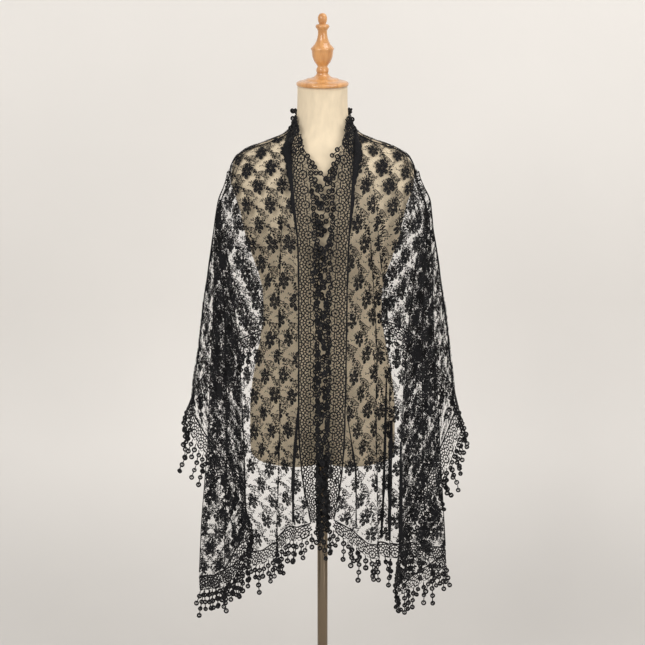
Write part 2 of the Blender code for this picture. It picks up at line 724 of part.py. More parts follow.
def make_form(parts, materials):
    """The torso, its turned cap, the pole and the base."""
    points = []
    faces = []
    for z, wide, front, back, power in FORM_SECTIONS:
        middle = (front + back) / 2
        deep = (back - front) / 2
        for k in range(FORM_SIDES):
            angle = 2 * math.pi * k / FORM_SIDES
            c = math.cos(angle)
            s = math.sin(angle)
            x = wide * math.copysign(abs(c) ** (2 / power), c)
            y = middle + deep * math.copysign(abs(s) ** (2 / power), s)
            points.append((x, y, z))
    rows = len(FORM_SECTIONS)
    for i in range(rows - 1):
        for k in range(FORM_SIDES):
            n = (k + 1) % FORM_SIDES
            high = i * FORM_SIDES
            low = high + FORM_SIDES
            faces.append((high + k, high + n, low + n, low + k))
    faces.append(tuple(range(FORM_SIDES)))
    faces.append(tuple((rows - 1) * FORM_SIDES + k for k in range(FORM_SIDES)))
    new_object("form_torso", points, faces, parts, materials["linen"])

    turned_object("form_neck_cap", CAP_PROFILE, 24, parts, materials["wood"])
    pole_low = BOSS_TOP_Z + SEAT_GAP
    pole_high = FORM_BOTTOM_Z - SEAT_GAP
    bpy.ops.mesh.primitive_cylinder_add(
        vertices=16,
        radius=POLE_RADIUS,
        depth=pole_high - pole_low,
        location=(0, 0, (pole_high + pole_low) / 2),
    )
    pole = bpy.context.object
    pole.name = "stand_pole"
    move_to(pole, parts, materials["metal"])
    base_profile = (
        (0.0, BOSS_TOP_Z),
        (BOSS_RADIUS - 0.003, BOSS_TOP_Z),
        (BOSS_RADIUS, BOSS_TOP_Z - 0.003),
        (BOSS_RADIUS, BASE_THICKNESS + 0.004),
        (BOSS_RADIUS + 0.006, BASE_THICKNESS + 0.0005),
        (BASE_RADIUS - 0.004, BASE_THICKNESS),
        (BASE_RADIUS, BASE_THICKNESS - 0.004),
        (BASE_RADIUS, 0.0015),
        (BASE_RADIUS - 0.0015, 0.0),
        (0.0, 0.0),
    )
    turned_object("stand_base", base_profile, 32, parts, materials["metal"])


def turned_object(name, profile, steps, parts, material):
    points = [(r, 0.0, z) for r, z in profile]
    mesh = bpy.data.meshes.new(name)
    mesh.from_pydata(points, [(k, k + 1) for k in range(len(points) - 1)], [])
    made = bpy.data.objects.new(name, mesh)
    parts.objects.link(made)
    turn = made.modifiers.new("turn", "SCREW")
    turn.axis = "Z"
    turn.angle = 2 * math.pi
    turn.steps = steps
    turn.render_steps = steps
    turn.use_merge_vertices = True
    turn.merge_threshold = 0.0001
    turn.use_smooth_shade = True
    turn.use_normal_flip = False
    mesh.materials.append(material)


def move_to(item, parts, material):
    for holder in list(item.users_collection):
        holder.objects.unlink(item)
    parts.objects.link(item)
    item.data.materials.append(material)
    for face in item.data.polygons:
        face.use_smooth = len(face.vertices) == 4


def hang_down(here, out, s):
    """Strands fall straight, with a slight sway and a little off the trim."""
    sway = math.sin(2.4 * s + 20 * here[0])
    return (0.05 * sway + 0.16 * out[0], 0.04 * math.cos(1.7 * s) + 0.16 * out[1], -1.0)


def hang_inwards(side):
    def way(here, out, s):
        room = max(0.0, (abs(here[0]) - 0.0055) / 0.047)
        if here[2] > 1.36:
            return (here[0] / 0.05 * 0.55, here[1] / 0.05 * 0.55 - 0.30, 0.70)
        if here[2] > 1.27:
            lean = min(0.62, room)
            return (-side * lean, -0.30, -math.sqrt(1 - lean**2))
        lean = min(0.45, room)
        forward = 0.04 * (s % 3) + 0.34 * (1 - lean / 0.45)
        if here[2] < 0.90:
            return None
        low = min(1.0, max(0.0, (0.88 - here[2]) / 0.18))
        return (-side * lean * (1 - 0.75 * low), 0.62 * low - forward * (1 - low), -1.0)

    return way


def hang_outwards(here, out, s):
    """At the nape the strands stand off the neck."""
    return (out[0] + 0.55 * here[0] / 0.06, 0.62, 0.55 + 0.10 * math.sin(2.1 * s))


def make_shawl(parts, materials):
    lace = materials["lace"]
    trim = materials["trim"]
    for side, name, columns, corner, turns in (
        (-1, "left", FRONT_COLUMNS_LEFT, CORNER_LEFT, SIDE_TRIM_LEFT),
        (1, "right", FRONT_COLUMNS_RIGHT, CORNER_RIGHT, SIDE_TRIM_RIGHT),
    ):
        grid = [[front_point(side, j, f) for j in range(len(columns))] for f in FRONT_ROWS]
        grid = push_off_form(grid)
        sheet_object("front_" + name, grid, parts, lace)

        edge = [row[0] for row in grid]
        ways = []
        for p in edge:
            inward = along([(r[0], r[1]) for r in EDGE_TRIM_TURN], p[2])
            backward = along([(r[0], r[2]) for r in EDGE_TRIM_TURN], p[2])
            upward = along([(r[0], r[3]) for r in EDGE_TRIM_TURN], p[2])
            ways.append(unit((side * inward, backward, upward)))
        low_turn = ways[-1]
        rails = trim_rails(edge, ways)
        rails = [(clear_of_form(a), clear_of_form(b)) for a, b in rails]
        trim_object("trim_front_" + name, rails, parts, trim)
        fringe_object("fringe_front_" + name, rails, hang_inwards(side), parts, trim, 0, -side)

        hem = [grid[-1][j] for j in range(corner + 1)]
        ways = []
        for j in range(corner + 1):
            if j == 0:
                ways.append(unit(low_turn + np.array((0, 0, -0.75))) * 1.12)
            elif j in turns:
                ways.append(unit((side * turns[j][0], turns[j][1], turns[j][2])))
            else:
                ways.append(unit((side * 0.02, 0.02, -1.0)))
        rails = trim_rails(hem, ways)
        trim_object("trim_hem_" + name, rails, parts, trim)
        fringe_object("fringe_hem_" + name, rails, hang_down, parts, trim, 1)

        free = [grid[-1][j] for j in range(corner, len(columns))]
        ways = [
            unit((side * turns[j][0], turns[j][1], turns[j][2])) for j in range(corner, len(columns))
        ]
        rails = trim_rails(free, ways)
        trim_object("trim_side_" + name, rails, parts, trim)
        fringe_object("fringe_side_" + name, rails, hang_down, parts, trim, 2)

    count = len(back_columns())
    grid = [[back_point(j, f) for j in range(count)] for f in BACK_ROWS]
    grid = push_off_form(grid)
    sheet_object("back", grid, parts, lace)
    low = grid[-1]
    ways = []
    for j in range(count):
        share = abs(j - (count - 1) / 2) / ((count - 1) / 2)
        out = 0.44 * max(0.0, (share - 0.72) / 0.28) ** 1.3
        ways.append(unit((math.copysign(out, j - (count - 1) / 2), 0.04 * (1 - share), -1.0)))
    rails = trim_rails(low, ways)
    rails = [(clear_of_form(a), clear_of_form(b)) for a, b in rails]
    trim_object("trim_back", rails, parts, trim)
    fringe_object("fringe_back", rails, hang_down, parts, trim, 3)

    first = next(j for j, (_, row) in enumerate(back_columns()) if row[0] == "k8")
    nape = grid[0][first : count - first]
    ways = []
    for k, p in enumerate(nape):
        share = abs(k - (len(nape) - 1) / 2) / ((len(nape) - 1) / 2)
        inward = 0.45 * share**4
        ways.append(unit((math.copysign(inward, -p[0]), 0.10 * (1 - share), 0.95)))
    ways[0] = unit((0.45, 0.0, 0.90))
    ways[-1] = unit((-0.45, 0.0, 0.90))
    rails = trim_rails(nape, ways)
    trim_object("trim_neck", rails, parts, trim)
    fringe_object("fringe_neck", rails, hang_outwards, parts, trim, 4)


def main():
    clear_scene()
    parts = new_collection(OBJECT)
    materials = {
        "linen": new_material("linen", (0.80, 0.70, 0.55), 0.85),
        "wood": new_material("wood", (0.62, 0.33, 0.12), 0.30),
        "metal": new_material("metal", (0.30, 0.24, 0.18), 0.40, 1.0),
        "lace": new_material("lace", (0.020, 0.020, 0.024), 0.80),
        "trim": new_material("trim", (0.016, 0.016, 0.019), 0.75),
    }
    make_form(parts, materials)
    make_shawl(parts, materials)


main()
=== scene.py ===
import json
import math

import bmesh
import bpy
import numpy as np
from bpy.props import FloatProperty, FloatVectorProperty, IntProperty, PointerProperty
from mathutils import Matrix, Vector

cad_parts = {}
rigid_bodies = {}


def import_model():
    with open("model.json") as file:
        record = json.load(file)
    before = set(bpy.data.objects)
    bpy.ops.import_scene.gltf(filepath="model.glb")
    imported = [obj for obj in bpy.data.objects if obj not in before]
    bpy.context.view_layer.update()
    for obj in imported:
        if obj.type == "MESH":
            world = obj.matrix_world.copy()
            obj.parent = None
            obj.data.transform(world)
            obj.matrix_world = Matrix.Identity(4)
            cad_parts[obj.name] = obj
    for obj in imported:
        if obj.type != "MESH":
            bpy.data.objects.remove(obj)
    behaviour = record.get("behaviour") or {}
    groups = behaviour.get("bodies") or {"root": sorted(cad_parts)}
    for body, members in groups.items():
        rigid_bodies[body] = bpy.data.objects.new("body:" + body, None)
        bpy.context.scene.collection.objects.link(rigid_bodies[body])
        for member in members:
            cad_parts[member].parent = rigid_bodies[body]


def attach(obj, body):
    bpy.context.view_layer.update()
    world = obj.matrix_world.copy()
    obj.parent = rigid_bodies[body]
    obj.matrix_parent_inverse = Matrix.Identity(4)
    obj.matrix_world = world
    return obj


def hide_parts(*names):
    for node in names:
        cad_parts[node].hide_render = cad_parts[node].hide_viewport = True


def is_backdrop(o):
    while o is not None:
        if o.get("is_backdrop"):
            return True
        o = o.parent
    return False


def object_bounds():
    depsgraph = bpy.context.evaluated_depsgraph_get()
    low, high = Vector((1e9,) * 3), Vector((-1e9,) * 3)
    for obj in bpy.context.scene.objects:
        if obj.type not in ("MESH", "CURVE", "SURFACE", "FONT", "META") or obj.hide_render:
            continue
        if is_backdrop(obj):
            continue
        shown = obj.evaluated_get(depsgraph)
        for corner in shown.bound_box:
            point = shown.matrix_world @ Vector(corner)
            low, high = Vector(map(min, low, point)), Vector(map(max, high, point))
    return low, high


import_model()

bl_info = {
    "name": "Lace shawl on a dress form",
    "version": (1, 0, 0),
    "blender": (4, 5, 0),
    "location": "View3D > Sidebar > Lace shawl",
    "description": "Builds a lace shawl with its trim and ring fringe on a dress form",
    "category": "Add Mesh",
}

# Where the camera stands, how far it looks down and how long its lens is
CAMERA_PLACE = (0.0, -3.5, 1.872)
CAMERA_PITCH = -14.0
CAMERA_LENS = 102.53

# Sizes of the form and its stand
NECK_TOP_Z = 1.4635
FORM_BOTTOM_Z = 0.7285
POLE_RADIUS = 0.0103
BASE_RADIUS = 0.175
BASE_THICKNESS = 0.010
BOSS_RADIUS = 0.022
BOSS_TOP_Z = 0.034

# Sizes of the cloth
CLOTH_WALL = 0.0012
TRIM_WIDTH = 0.031
BODY_CLEARANCE = 0.0030
RIDGE_CLEARANCE = 0.0016
RIDGE_PARTING = 0.0011
BODY_LEAST = 0.0015
NAPE_HALF_WIDTH = 0.061
FINE_CLEARANCE = 0.0022
RING_CLEARANCE = 0.0060

# The torso's rows, the height at which it bends in below, the swelling between its
# thighs (height, half width, top, fade) and the radius by which its linen is mapped
TORSO_ROWS = 118
TORSO_BEND_Z = 0.748
TORSO_LOBE = (0.0090, 0.035, 0.760, 0.03)
LINEN_RADIUS = 0.14
LINEN_THREADS = 420.0

# Rolls of doubled cloth: sides, least half thickness, and more of it by width
ROLL_SIDES = 8
ROLL_LEAST = 0.0005
ROLL_SHARE = 0.14

# The trim: length of its faces, points across it, thickness of its threads, and
# width and inset of the roll along its seam
TRIM_STEP = 0.0045
TRIM_POINTS = 8
TRIM_THREAD = 0.0009
TRIM_SEAM_WIDTH = 0.0026
TRIM_SEAM_INSET = 0.0002

# Drops of the fringe: rings in each, in turn; distance between rings in diameters
# and of the first from the edge as a share of it; closer drops at the centre edges
RINGS_IN_A_DROP = (3, 2, 4, 2, 3, 2, 3, 3)
RING_PITCH = 1.40
FIRST_RING = 0.72
RING_THREAD = 0.172
FRONT_SPACING = 0.92
FRINGE_SEED = 40
# How unevenly the drops sway and their rings turn, and how their sizes vary
DROP_SWAY = 0.11
RING_TWIST = 0.55
RING_VARIES = 0.05
# Heights above which the centre edges' drops are short and hang off the nape, and
# lean under the throat; below which they get one ring more, hang low, and get two
NAPE_DROPS_Z = 1.36
THROAT_DROPS_Z = 1.27
LONGER_DROPS_Z = 0.80
LOW_DROPS_Z = 0.70
LONGEST_DROPS_Z = 0.68

# Scale of the pinholes in the darned motifs, and the noise that is open and closed
STITCH_SCALE = 760.0
STITCH_CLOSED = (0.31, 0.37)

# Shares of the wood's colour in the dark and the light grain
WOOD_DARK = (0.72, 0.62, 0.52)
WOOD_LIGHT = (1.12, 1.18, 1.25)

# Lights of the studio: name, place, aim, size, power and colour; then its sky
LIGHTS = (
    ("key", (-2.2, -3.4, 3.0), (0.0, 0.0, 1.15), (2.2, 2.0), 78.0, (1.0, 0.985, 0.96)),
    ("fill", (2.8, -3.2, 2.2), (0.0, 0.0, 1.1), (2.2, 2.2), 52.0, (1.0, 0.98, 0.96)),
    ("wall", (1.5, -0.4, 3.9), (0.5, 1.2, 2.0), (2.4, 1.0), 34.0, (1.0, 0.985, 0.97)),
)
SKY_COLOUR = (1.0, 0.985, 0.965, 1.0)
SKY_STRENGTH = 0.55

# The backdrop's places across, its floor and wall (Y and Z), the bend between them
# and how far it all lies below the stand
BACKDROP_X = (-5.0, -2.0, 0.0, 2.0, 5.0)
BACKDROP_FLOOR = ((-5.0, 0.0), (-1.0, 0.0))
BACKDROP_WALL = ((1.2, 2.4), (1.2, 5.0))
BACKDROP_BEND_Y = 0.45
BACKDROP_BEND = 0.75
BACKDROP_CUTS = 12
BACKDROP_GAP = 0.0004

# Height, half width, front, back, corner power of the form's level sections
FORM_SECTIONS = (
    (1.4635, 0.0440, -0.0440, 0.0440, 2.0),
    (1.4400, 0.0440, -0.0440, 0.0445, 2.0),
    (1.4100, 0.0450, -0.0455, 0.0465, 2.0),
    (1.3930, 0.0495, -0.0490, 0.0510, 2.0),
    (1.3810, 0.0575, -0.0530, 0.0560, 2.0),
    (1.3700, 0.0735, -0.0575, 0.0620, 2.0),
    (1.3600, 0.0960, -0.0620, 0.0680, 2.0),
    (1.3500, 0.1230, -0.0670, 0.0740, 2.0),
    (1.3400, 0.1470, -0.0715, 0.0790, 2.1),
    (1.3270, 0.1640, -0.0765, 0.0840, 2.2),
    (1.3080, 0.1740, -0.0835, 0.0895, 2.3),
    (1.2850, 0.1765, -0.0925, 0.0940, 2.3),
    (1.2600, 0.1705, -0.1015, 0.0965, 2.3),
    (1.2330, 0.1605, -0.1095, 0.0970, 2.3),
    (1.2030, 0.1540, -0.1150, 0.0950, 2.3),
    (1.1700, 0.1470, -0.1135, 0.0910, 2.2),
    (1.1350, 0.1350, -0.1055, 0.0850, 2.2),
    (1.0980, 0.1230, -0.0955, 0.0790, 2.2),
    (1.0600, 0.1160, -0.0890, 0.0760, 2.2),
    (1.0200, 0.1150, -0.0870, 0.0760, 2.2),
    (0.9780, 0.1205, -0.0890, 0.0815, 2.2),
    (0.9300, 0.1295, -0.0950, 0.0930, 2.2),
    (0.8800, 0.1385, -0.1000, 0.1050, 2.2),
    (0.8280, 0.1435, -0.1030, 0.1120, 2.3),
    (0.7750, 0.1440, -0.1040, 0.1130, 2.3),
    (0.7430, 0.1430, -0.1030, 0.1105, 2.4),
    (0.7320, 0.1385, -0.0985, 0.1060, 2.4),
    (0.7285, 0.1290, -0.0900, 0.0970, 2.4),
)

# Radius and height of the turned cap and finial, down its outer side
CAP_FINE_PROFILE = (
    (0.0000, 1.6005),
    (0.0052, 1.5992),
    (0.0088, 1.5930),
    (0.0080, 1.5838),
    (0.0062, 1.5800),
    (0.0108, 1.5795),
    (0.0135, 1.5752),
    (0.0105, 1.5706),
    (0.0087, 1.5666),
    (0.0100, 1.5540),
    (0.0150, 1.5420),
    (0.0222, 1.5340),
    (0.0204, 1.5296),
    (0.0196, 1.5200),
    (0.0148, 1.5080),
    (0.0093, 1.5006),
    (0.0116, 1.4962),
    (0.0116, 1.4896),
    (0.0104, 1.4880),
    (0.0172, 1.4800),
    (0.0300, 1.4772),
    (0.0330, 1.4748),
    (0.0455, 1.4722),
    (0.0498, 1.4690),
    (0.0498, 1.4656),
    (0.0482, 1.4638),
    (0.0000, 1.4638),
)

# Name, place on the shoulder ridge, fold wave and lower end of each column of a
# front panel, from its centre edge outwards; left panel, then right panel
FRONT_COLUMNS_LEFT = (
    ("edge", 0.0610, 0.0, 0.6265),
    ("a", 0.0700, -0.7, 0.6220),
    ("b", 0.0785, 1.0, 0.6130),
    ("c", 0.0875, -1.0, 0.5930),
    ("d", 0.0990, -0.2, 0.5680),
    ("e", 0.1110, 0.8, 0.5490),
    ("f", 0.1230, -1.0, 0.5240),
    ("g", 0.1350, 0.0, 0.4950),
    ("turn1a", 0.1460, 0.0, 0.4810),
    ("turn1b", 0.1515, 0.0, 0.4780),
    ("turn1c", 0.1555, 0.0, 0.4785),
    ("inner1", 0.1595, 0.0, 0.4820),
    ("inner2", 0.1630, 0.0, 0.5270),
    ("turn2a", 0.1660, 0.0, 0.5660),
    ("turn2b", 0.1690, 0.0, 0.6200),
    ("turn2c", 0.1720, 0.0, 0.6760),
    ("outer1", 0.1755, 0.0, 0.7120),
    ("outer2", 0.1795, 0.0, 0.7640),
    ("ridge", 0.1835, 0.0, 0.8220),
)
FRONT_COLUMNS_RIGHT = (
    ("edge", 0.0610, 0.0, 0.6330),
    ("a", 0.0700, -0.6, 0.6210),
    ("b", 0.0785, 0.7, 0.6010),
    ("c", 0.0875, -0.8, 0.5830),
    ("d", 0.0990, 0.9, 0.5780),
    ("e", 0.1110, -1.0, 0.5760),
    ("f", 0.1230, 0.3, 0.5680),
    ("g", 0.1350, -0.5, 0.5560),
    ("turn1a", 0.1460, 0.0, 0.5440),
    ("turn1b", 0.1515, 0.0, 0.5360),
    ("turn1c", 0.1555, 0.0, 0.5240),
    ("inner1", 0.1595, 0.0, 0.4960),
    ("inner2", 0.1630, 0.0, 0.4740),
    ("turn2a", 0.1660, 0.0, 0.4560),
    ("turn2b", 0.1690, 0.0, 0.5140),
    ("turn2c", 0.1720, 0.0, 0.5760),
    ("outer1", 0.1755, 0.0, 0.6420),
    ("outer2", 0.1795, 0.0, 0.7300),
    ("ridge", 0.1860, 0.0, 0.8220),
)
# Which column of each front panel holds the shawl's lower corner
CORNER_LEFT = 11
CORNER_RIGHT = 13

# Height and distance from the middle of the centre edge, left and right
EDGE_LEFT = (
    (1.345, 0.0595), (1.285, 0.0560), (1.245, 0.0520), (1.150, 0.0450), (0.840, 0.0455),
    (0.737, 0.0405), (0.633, 0.0235), (0.460, 0.0100),
)
EDGE_RIGHT = (
    (1.345, 0.0600), (1.285, 0.0560), (1.245, 0.0530), (1.150, 0.0480), (0.840, 0.0430),
    (0.737, 0.0380), (0.633, 0.0225), (0.460, 0.0100),
)
# Height and half width of the first fold (front), the second fold (hidden) and the ridge
FOLD1_LEFT = (
    (1.300, 0.1790), (1.277, 0.1890), (1.230, 0.2020), (1.190, 0.2076), (1.130, 0.2085),
    (1.070, 0.2103), (0.990, 0.2144), (0.910, 0.2195), (0.850, 0.2223), (0.786, 0.2252),
    (0.726, 0.2301), (0.664, 0.2358), (0.609, 0.2407), (0.533, 0.2463), (0.460, 0.2495),
)
FOLD1_RIGHT = (
    (1.300, 0.1800), (1.277, 0.1890), (1.230, 0.2020), (1.190, 0.2076), (1.131, 0.2104),
    (1.072, 0.2132), (0.992, 0.2163), (0.911, 0.2214), (0.856, 0.2262), (0.813, 0.2292),
    (0.740, 0.2331), (0.652, 0.2392), (0.600, 0.2440), (0.542, 0.2470), (0.460, 0.2500),
)
FOLD2 = (
    (1.300, 0.1780), (1.250, 0.1865), (1.190, 0.1880), (1.100, 0.1790), (1.000, 0.1690),
    (0.920, 0.1630), (0.820, 0.1585), (0.700, 0.1550), (0.600, 0.1540), (0.440, 0.1560),
)
RIDGE_LEFT = (
    (1.300, 0.1872), (1.277, 0.1927), (1.230, 0.2041), (1.193, 0.2103), (1.155, 0.2165),
    (1.117, 0.2225), (1.064, 0.2313), (1.023, 0.2380), (0.961, 0.2449), (0.919, 0.2517),
    (0.877, 0.2585), (0.845, 0.2631), (0.800, 0.2660),
)
RIDGE_RIGHT = (
    (1.300, 0.1930), (1.277, 0.1991), (1.240, 0.2087), (1.193, 0.2149), (1.155, 0.2211),
    (1.117, 0.2291), (1.064, 0.2354), (1.023, 0.2441), (0.961, 0.2510), (0.919, 0.2575),
    (0.877, 0.2620), (0.845, 0.2658), (0.800, 0.2680),
)

# Height, then distance back (Y) of the centre edge, first fold and ridge
EDGE_DEPTH = (
    (1.345, -0.060), (1.285, -0.100), (1.245, -0.117), (1.200, -0.122), (1.100, -0.127),
    (0.840, -0.130), (0.737, -0.126), (0.633, -0.121), (0.460, -0.118),
)
FOLD1_DEPTH = (
    (1.330, -0.004), (1.300, -0.010), (1.230, -0.024), (1.150, -0.032), (0.800, -0.034),
    (0.460, -0.030),
)
RIDGE_DEPTH = ((1.330, 0.001), (1.250, 0.005), (1.150, 0.010), (0.800, 0.012))
# Height and how far open the folds stand, and how deep the front folds wave
FOLD_OPEN = (
    (1.345, 0.0), (1.310, 0.04), (1.260, 0.22), (1.200, 0.60), (1.120, 1.0), (0.40, 1.0),
)
WAVE_DEPTH = (
    (1.360, 0.0), (1.300, 0.0013), (1.200, 0.0032), (1.050, 0.0064), (0.850, 0.0080),
    (0.700, 0.0092), (0.460, 0.0112),
)
# How far each front column lies from the centre edge to the first fold
FRONT_SPREAD_LEFT = (0.0, 0.110, 0.215, 0.310, 0.430, 0.575, 0.715, 0.860)
FRONT_SPREAD_RIGHT = (0.0, 0.110, 0.210, 0.320, 0.440, 0.570, 0.715, 0.860)
FRONT_BOW = (0.0, 0.030, 0.066, 0.118, 0.200, 0.350, 0.560, 0.790)
# Shares of a column's height at which the panels have a row
FRONT_ROWS = (
    0.0, 0.008, 0.028, 0.065, 0.115, 0.175, 0.250, 0.335, 0.430, 0.530, 0.630, 0.740, 0.865, 1.0,
)
BACK_ROWS = (
    0.0, 0.012, 0.040, 0.080, 0.130, 0.190, 0.260, 0.350, 0.460, 0.590, 0.720, 0.860, 1.0,
)

# Name, place on the shoulder ridge or nape, half width and depth at half height,
# half width, depth and height at the lower edge of the back panel's columns
BACK_COLUMNS_LEFT = (
    ("ridge", 0.1835, 0.2265, 0.0115, 0.2642, 0.0135, 0.8220),
    ("k1", 0.1760, 0.2180, 0.0210, 0.2580, 0.0390, 0.8500),
    ("k2", 0.1660, 0.2060, 0.0350, 0.2420, 0.0600, 0.8700),
    ("k3", 0.1520, 0.1890, 0.0520, 0.2160, 0.0800, 0.8960),
    ("k4", 0.1340, 0.1650, 0.0700, 0.1780, 0.0990, 0.9300),
    ("k5", 0.1140, 0.1360, 0.0850, 0.1400, 0.1100, 0.9500),
    ("k6", 0.0930, 0.1070, 0.0950, 0.1080, 0.1150, 0.9570),
    ("k7", 0.0760, 0.0840, 0.1000, 0.0840, 0.1175, 0.9540),
    ("k8", 0.0610, 0.0640, 0.1025, 0.0640, 0.1190, 0.9500),
    ("k9", 0.0450, 0.0460, 0.1040, 0.0460, 0.1200, 0.9460),
    ("k10", 0.0300, 0.0300, 0.1050, 0.0300, 0.1205, 0.9430),
    ("k11", 0.0150, 0.0150, 0.1055, 0.0150, 0.1210, 0.9415),
)
BACK_MIDDLE = ("middle", 0.0, 0.0, 0.1055, 0.0, 0.1210, 0.9410)
BACK_COLUMNS_RIGHT = (
    ("ridge", 0.1860, 0.2310, 0.0115, 0.2665, 0.0135, 0.8220),
    ("k1", 0.1760, 0.2220, 0.0210, 0.2632, 0.0400, 0.8530),
    ("k2", 0.1660, 0.2100, 0.0350, 0.2450, 0.0600, 0.8750),
    ("k3", 0.1520, 0.1920, 0.0520, 0.2180, 0.0800, 0.9060),
    ("k4", 0.1340, 0.1670, 0.0700, 0.1800, 0.0990, 0.9520),
    ("k5", 0.1140, 0.1370, 0.0850, 0.1420, 0.1100, 0.9700),
    ("k6", 0.0930, 0.1080, 0.0950, 0.1100, 0.1150, 0.9700),
    ("k7", 0.0760, 0.0840, 0.1000, 0.0850, 0.1175, 0.9640),
    ("k8", 0.0610, 0.0640, 0.1025, 0.0640, 0.1190, 0.9560),
    ("k9", 0.0450, 0.0460, 0.1040, 0.0460, 0.1200, 0.9490),
    ("k10", 0.0300, 0.0300, 0.1050, 0.0300, 0.1205, 0.9440),
    ("k11", 0.0150, 0.0150, 0.1055, 0.0150, 0.1210, 0.9420),
)
NAPE_Z = 1.3880

# Direction of the trim's width by height along the centre edge: inwards, back, up
EDGE_TRIM_TURN = (
    (1.385, -0.45, 0.00, 0.90),
    (1.372, -0.50, -0.25, 0.82),
    (1.350, -0.76, -0.25, 0.58),
    (1.310, -0.95, -0.22, 0.25),
    (1.270, -1.00, -0.10, 0.06),
    (1.150, -1.00, -0.02, 0.00),
    (0.800, -1.00, 0.06, 0.00),
    (0.720, -0.86, 0.50, 0.00),
    (0.640, -0.45, 0.85, -0.24),
    (0.600, -0.30, 0.80, -0.52),
)
# Trim direction round the lower corner and up the free edge: outwards, back, up
SIDE_TRIM_LEFT = {
    10: (0.02, 0.00, -1.00),
    11: (-0.30, 0.02, -0.95),
    12: (-0.62, 0.10, -0.78),
    13: (-0.62, 0.34, -0.70),
    14: (-0.06, 0.72, -0.69),
    15: (0.45, 0.40, -0.80),
    16: (0.68, 0.08, -0.73),
    17: (0.66, 0.02, -0.75),
    18: (0.44, 0.02, -0.90),
}
SIDE_TRIM_RIGHT = {
    10: (0.02, 0.00, -1.00),
    11: (-0.04, 0.00, -1.00),
    12: (-0.06, 0.02, -1.00),
    13: (-0.34, 0.30, -0.90),
    14: (-0.06, 0.88, -0.48),
    15: (0.50, 0.60, -0.62),
    16: (0.72, 0.12, -0.68),
    17: (0.72, 0.02, -0.69),
    18: (0.44, 0.02, -0.90),
}


# Curves through tables, and the form and cloth that they describe
def along(table, at, column=1):
    """The value of a table's column at a height, through its rows with no overshoot."""
    rows = sorted(table)
    xs = [row[0] for row in rows]
    ys = [row[column] for row in rows]
    if at <= xs[0]:
        return ys[0]
    if at >= xs[-1]:
        return ys[-1]
    i = max(k for k in range(len(xs) - 1) if xs[k] <= at)
    steps = [xs[k + 1] - xs[k] for k in range(len(xs) - 1)]
    slopes = [(ys[k + 1] - ys[k]) / steps[k] for k in range(len(xs) - 1)]

    def tangent(k):
        if k == 0 or k == len(xs) - 1:
            return slopes[0] if k == 0 else slopes[-1]
        if slopes[k - 1] * slopes[k] <= 0:
            return 0.0
        w1 = 2 * steps[k] + steps[k - 1]
        w2 = steps[k] + 2 * steps[k - 1]
        return (w1 + w2) / (w1 / slopes[k - 1] + w2 / slopes[k])

    h = steps[i]
    t = (at - xs[i]) / h
    m0 = tangent(i) * h
    m1 = tangent(i + 1) * h
    return (
        (2 * t**3 - 3 * t**2 + 1) * ys[i]
        + (t**3 - 2 * t**2 + t) * m0
        + (3 * t**2 - 2 * t**3) * ys[i + 1]
        + (t**3 - t**2) * m1
    )


FINE_Z = np.linspace(FORM_BOTTOM_Z, NECK_TOP_Z, 1471)
FINE_SECTIONS = np.array([[along(FORM_SECTIONS, z, c) for z in FINE_Z] for c in range(1, 5)])


def form_section(z, grow=0.0):
    """Half width, middle, half depth and power of the form's section at a height."""
    wide, front, back, power = (float(np.interp(z - grow, FINE_Z, row)) for row in FINE_SECTIONS)
    wide += grow
    front -= grow
    back += grow
    return wide, (front + back) / 2, (back - front) / 2, power


def form_depths(x, z, grow):
    """Front and back Y of the form grown by a clearance, or None beside it."""
    if z - grow > NECK_TOP_Z or z + grow < FORM_BOTTOM_Z:
        return None
    wide, middle, deep, power = form_section(z, grow)
    share = abs(x) / wide
    if share >= 1.0:
        return None
    reach = deep * (1 - share**power) ** (1 / power)
    return middle - reach, middle + reach


def ridge_height(x, grow):
    """Height at which the grown form is as wide as a point of the shoulder ridge."""
    low, high = 1.300, 1.400
    for _ in range(40):
        mid = (low + high) / 2
        if form_section(mid, grow)[0] > x:
            low = mid
        else:
            high = mid
    return low


def ridge_line(side, z, top_x, top_z):
    """Half width and depth of the side ridge, where front and back panels meet."""
    settle = min(1.0, max(0.0, (z - 1.245) / (top_z - 1.245))) ** 1.4
    x = along(RIDGE_LEFT if side < 0 else RIDGE_RIGHT, z)
    y = along(RIDGE_DEPTH, z)
    return x + (top_x - x) * settle, y * (1 - settle)


def ridge_parting(z, top_z):
    """Half the distance between the middles of the two walls along the ridge."""
    wide = (CLOTH_WALL + 0.0006) / 2
    narrow = RIDGE_PARTING / 2
    return narrow + (wide - narrow) * min(1.0, (top_z - z) / 0.003)


def form_level(points):
    """Below 0 inside the form and above it outside, for an array of points."""
    wide, front, back, power = (np.interp(points[:, 2], FINE_Z, row) for row in FINE_SECTIONS)
    middle = (front + back) / 2
    deep = (back - front) / 2
    x = (np.abs(points[:, 0]) / wide) ** power
    y = (np.abs(points[:, 1] - middle) / deep) ** power
    return (x + y) ** (1 / power) - 1


def form_distance(points):
    """Distance of points from the form's surface and the way off it."""
    step = 0.0005
    slope = np.stack(
        [form_level(points + step * a) - form_level(points - step * a) for a in np.eye(3)],
        axis=1,
    )
    slope = slope / (2 * step)
    steep = np.maximum(1e-6, np.linalg.norm(slope, axis=1))
    return form_level(points) / steep, slope / steep[:, None]


def cell_shares():
    """Weights of a cell's four corners at places over it and along its diagonals."""
    shares = []
    for u in range(5):
        for v in range(5):
            a, b = u / 4, v / 4
            shares.append(((1 - a) * (1 - b), a * (1 - b), a * b, (1 - a) * b))
    for t in (0.25, 0.5, 0.75):
        shares.append((1 - t, 0, t, 0))
        shares.append((0, 1 - t, 0, t))
    return np.array(shares)


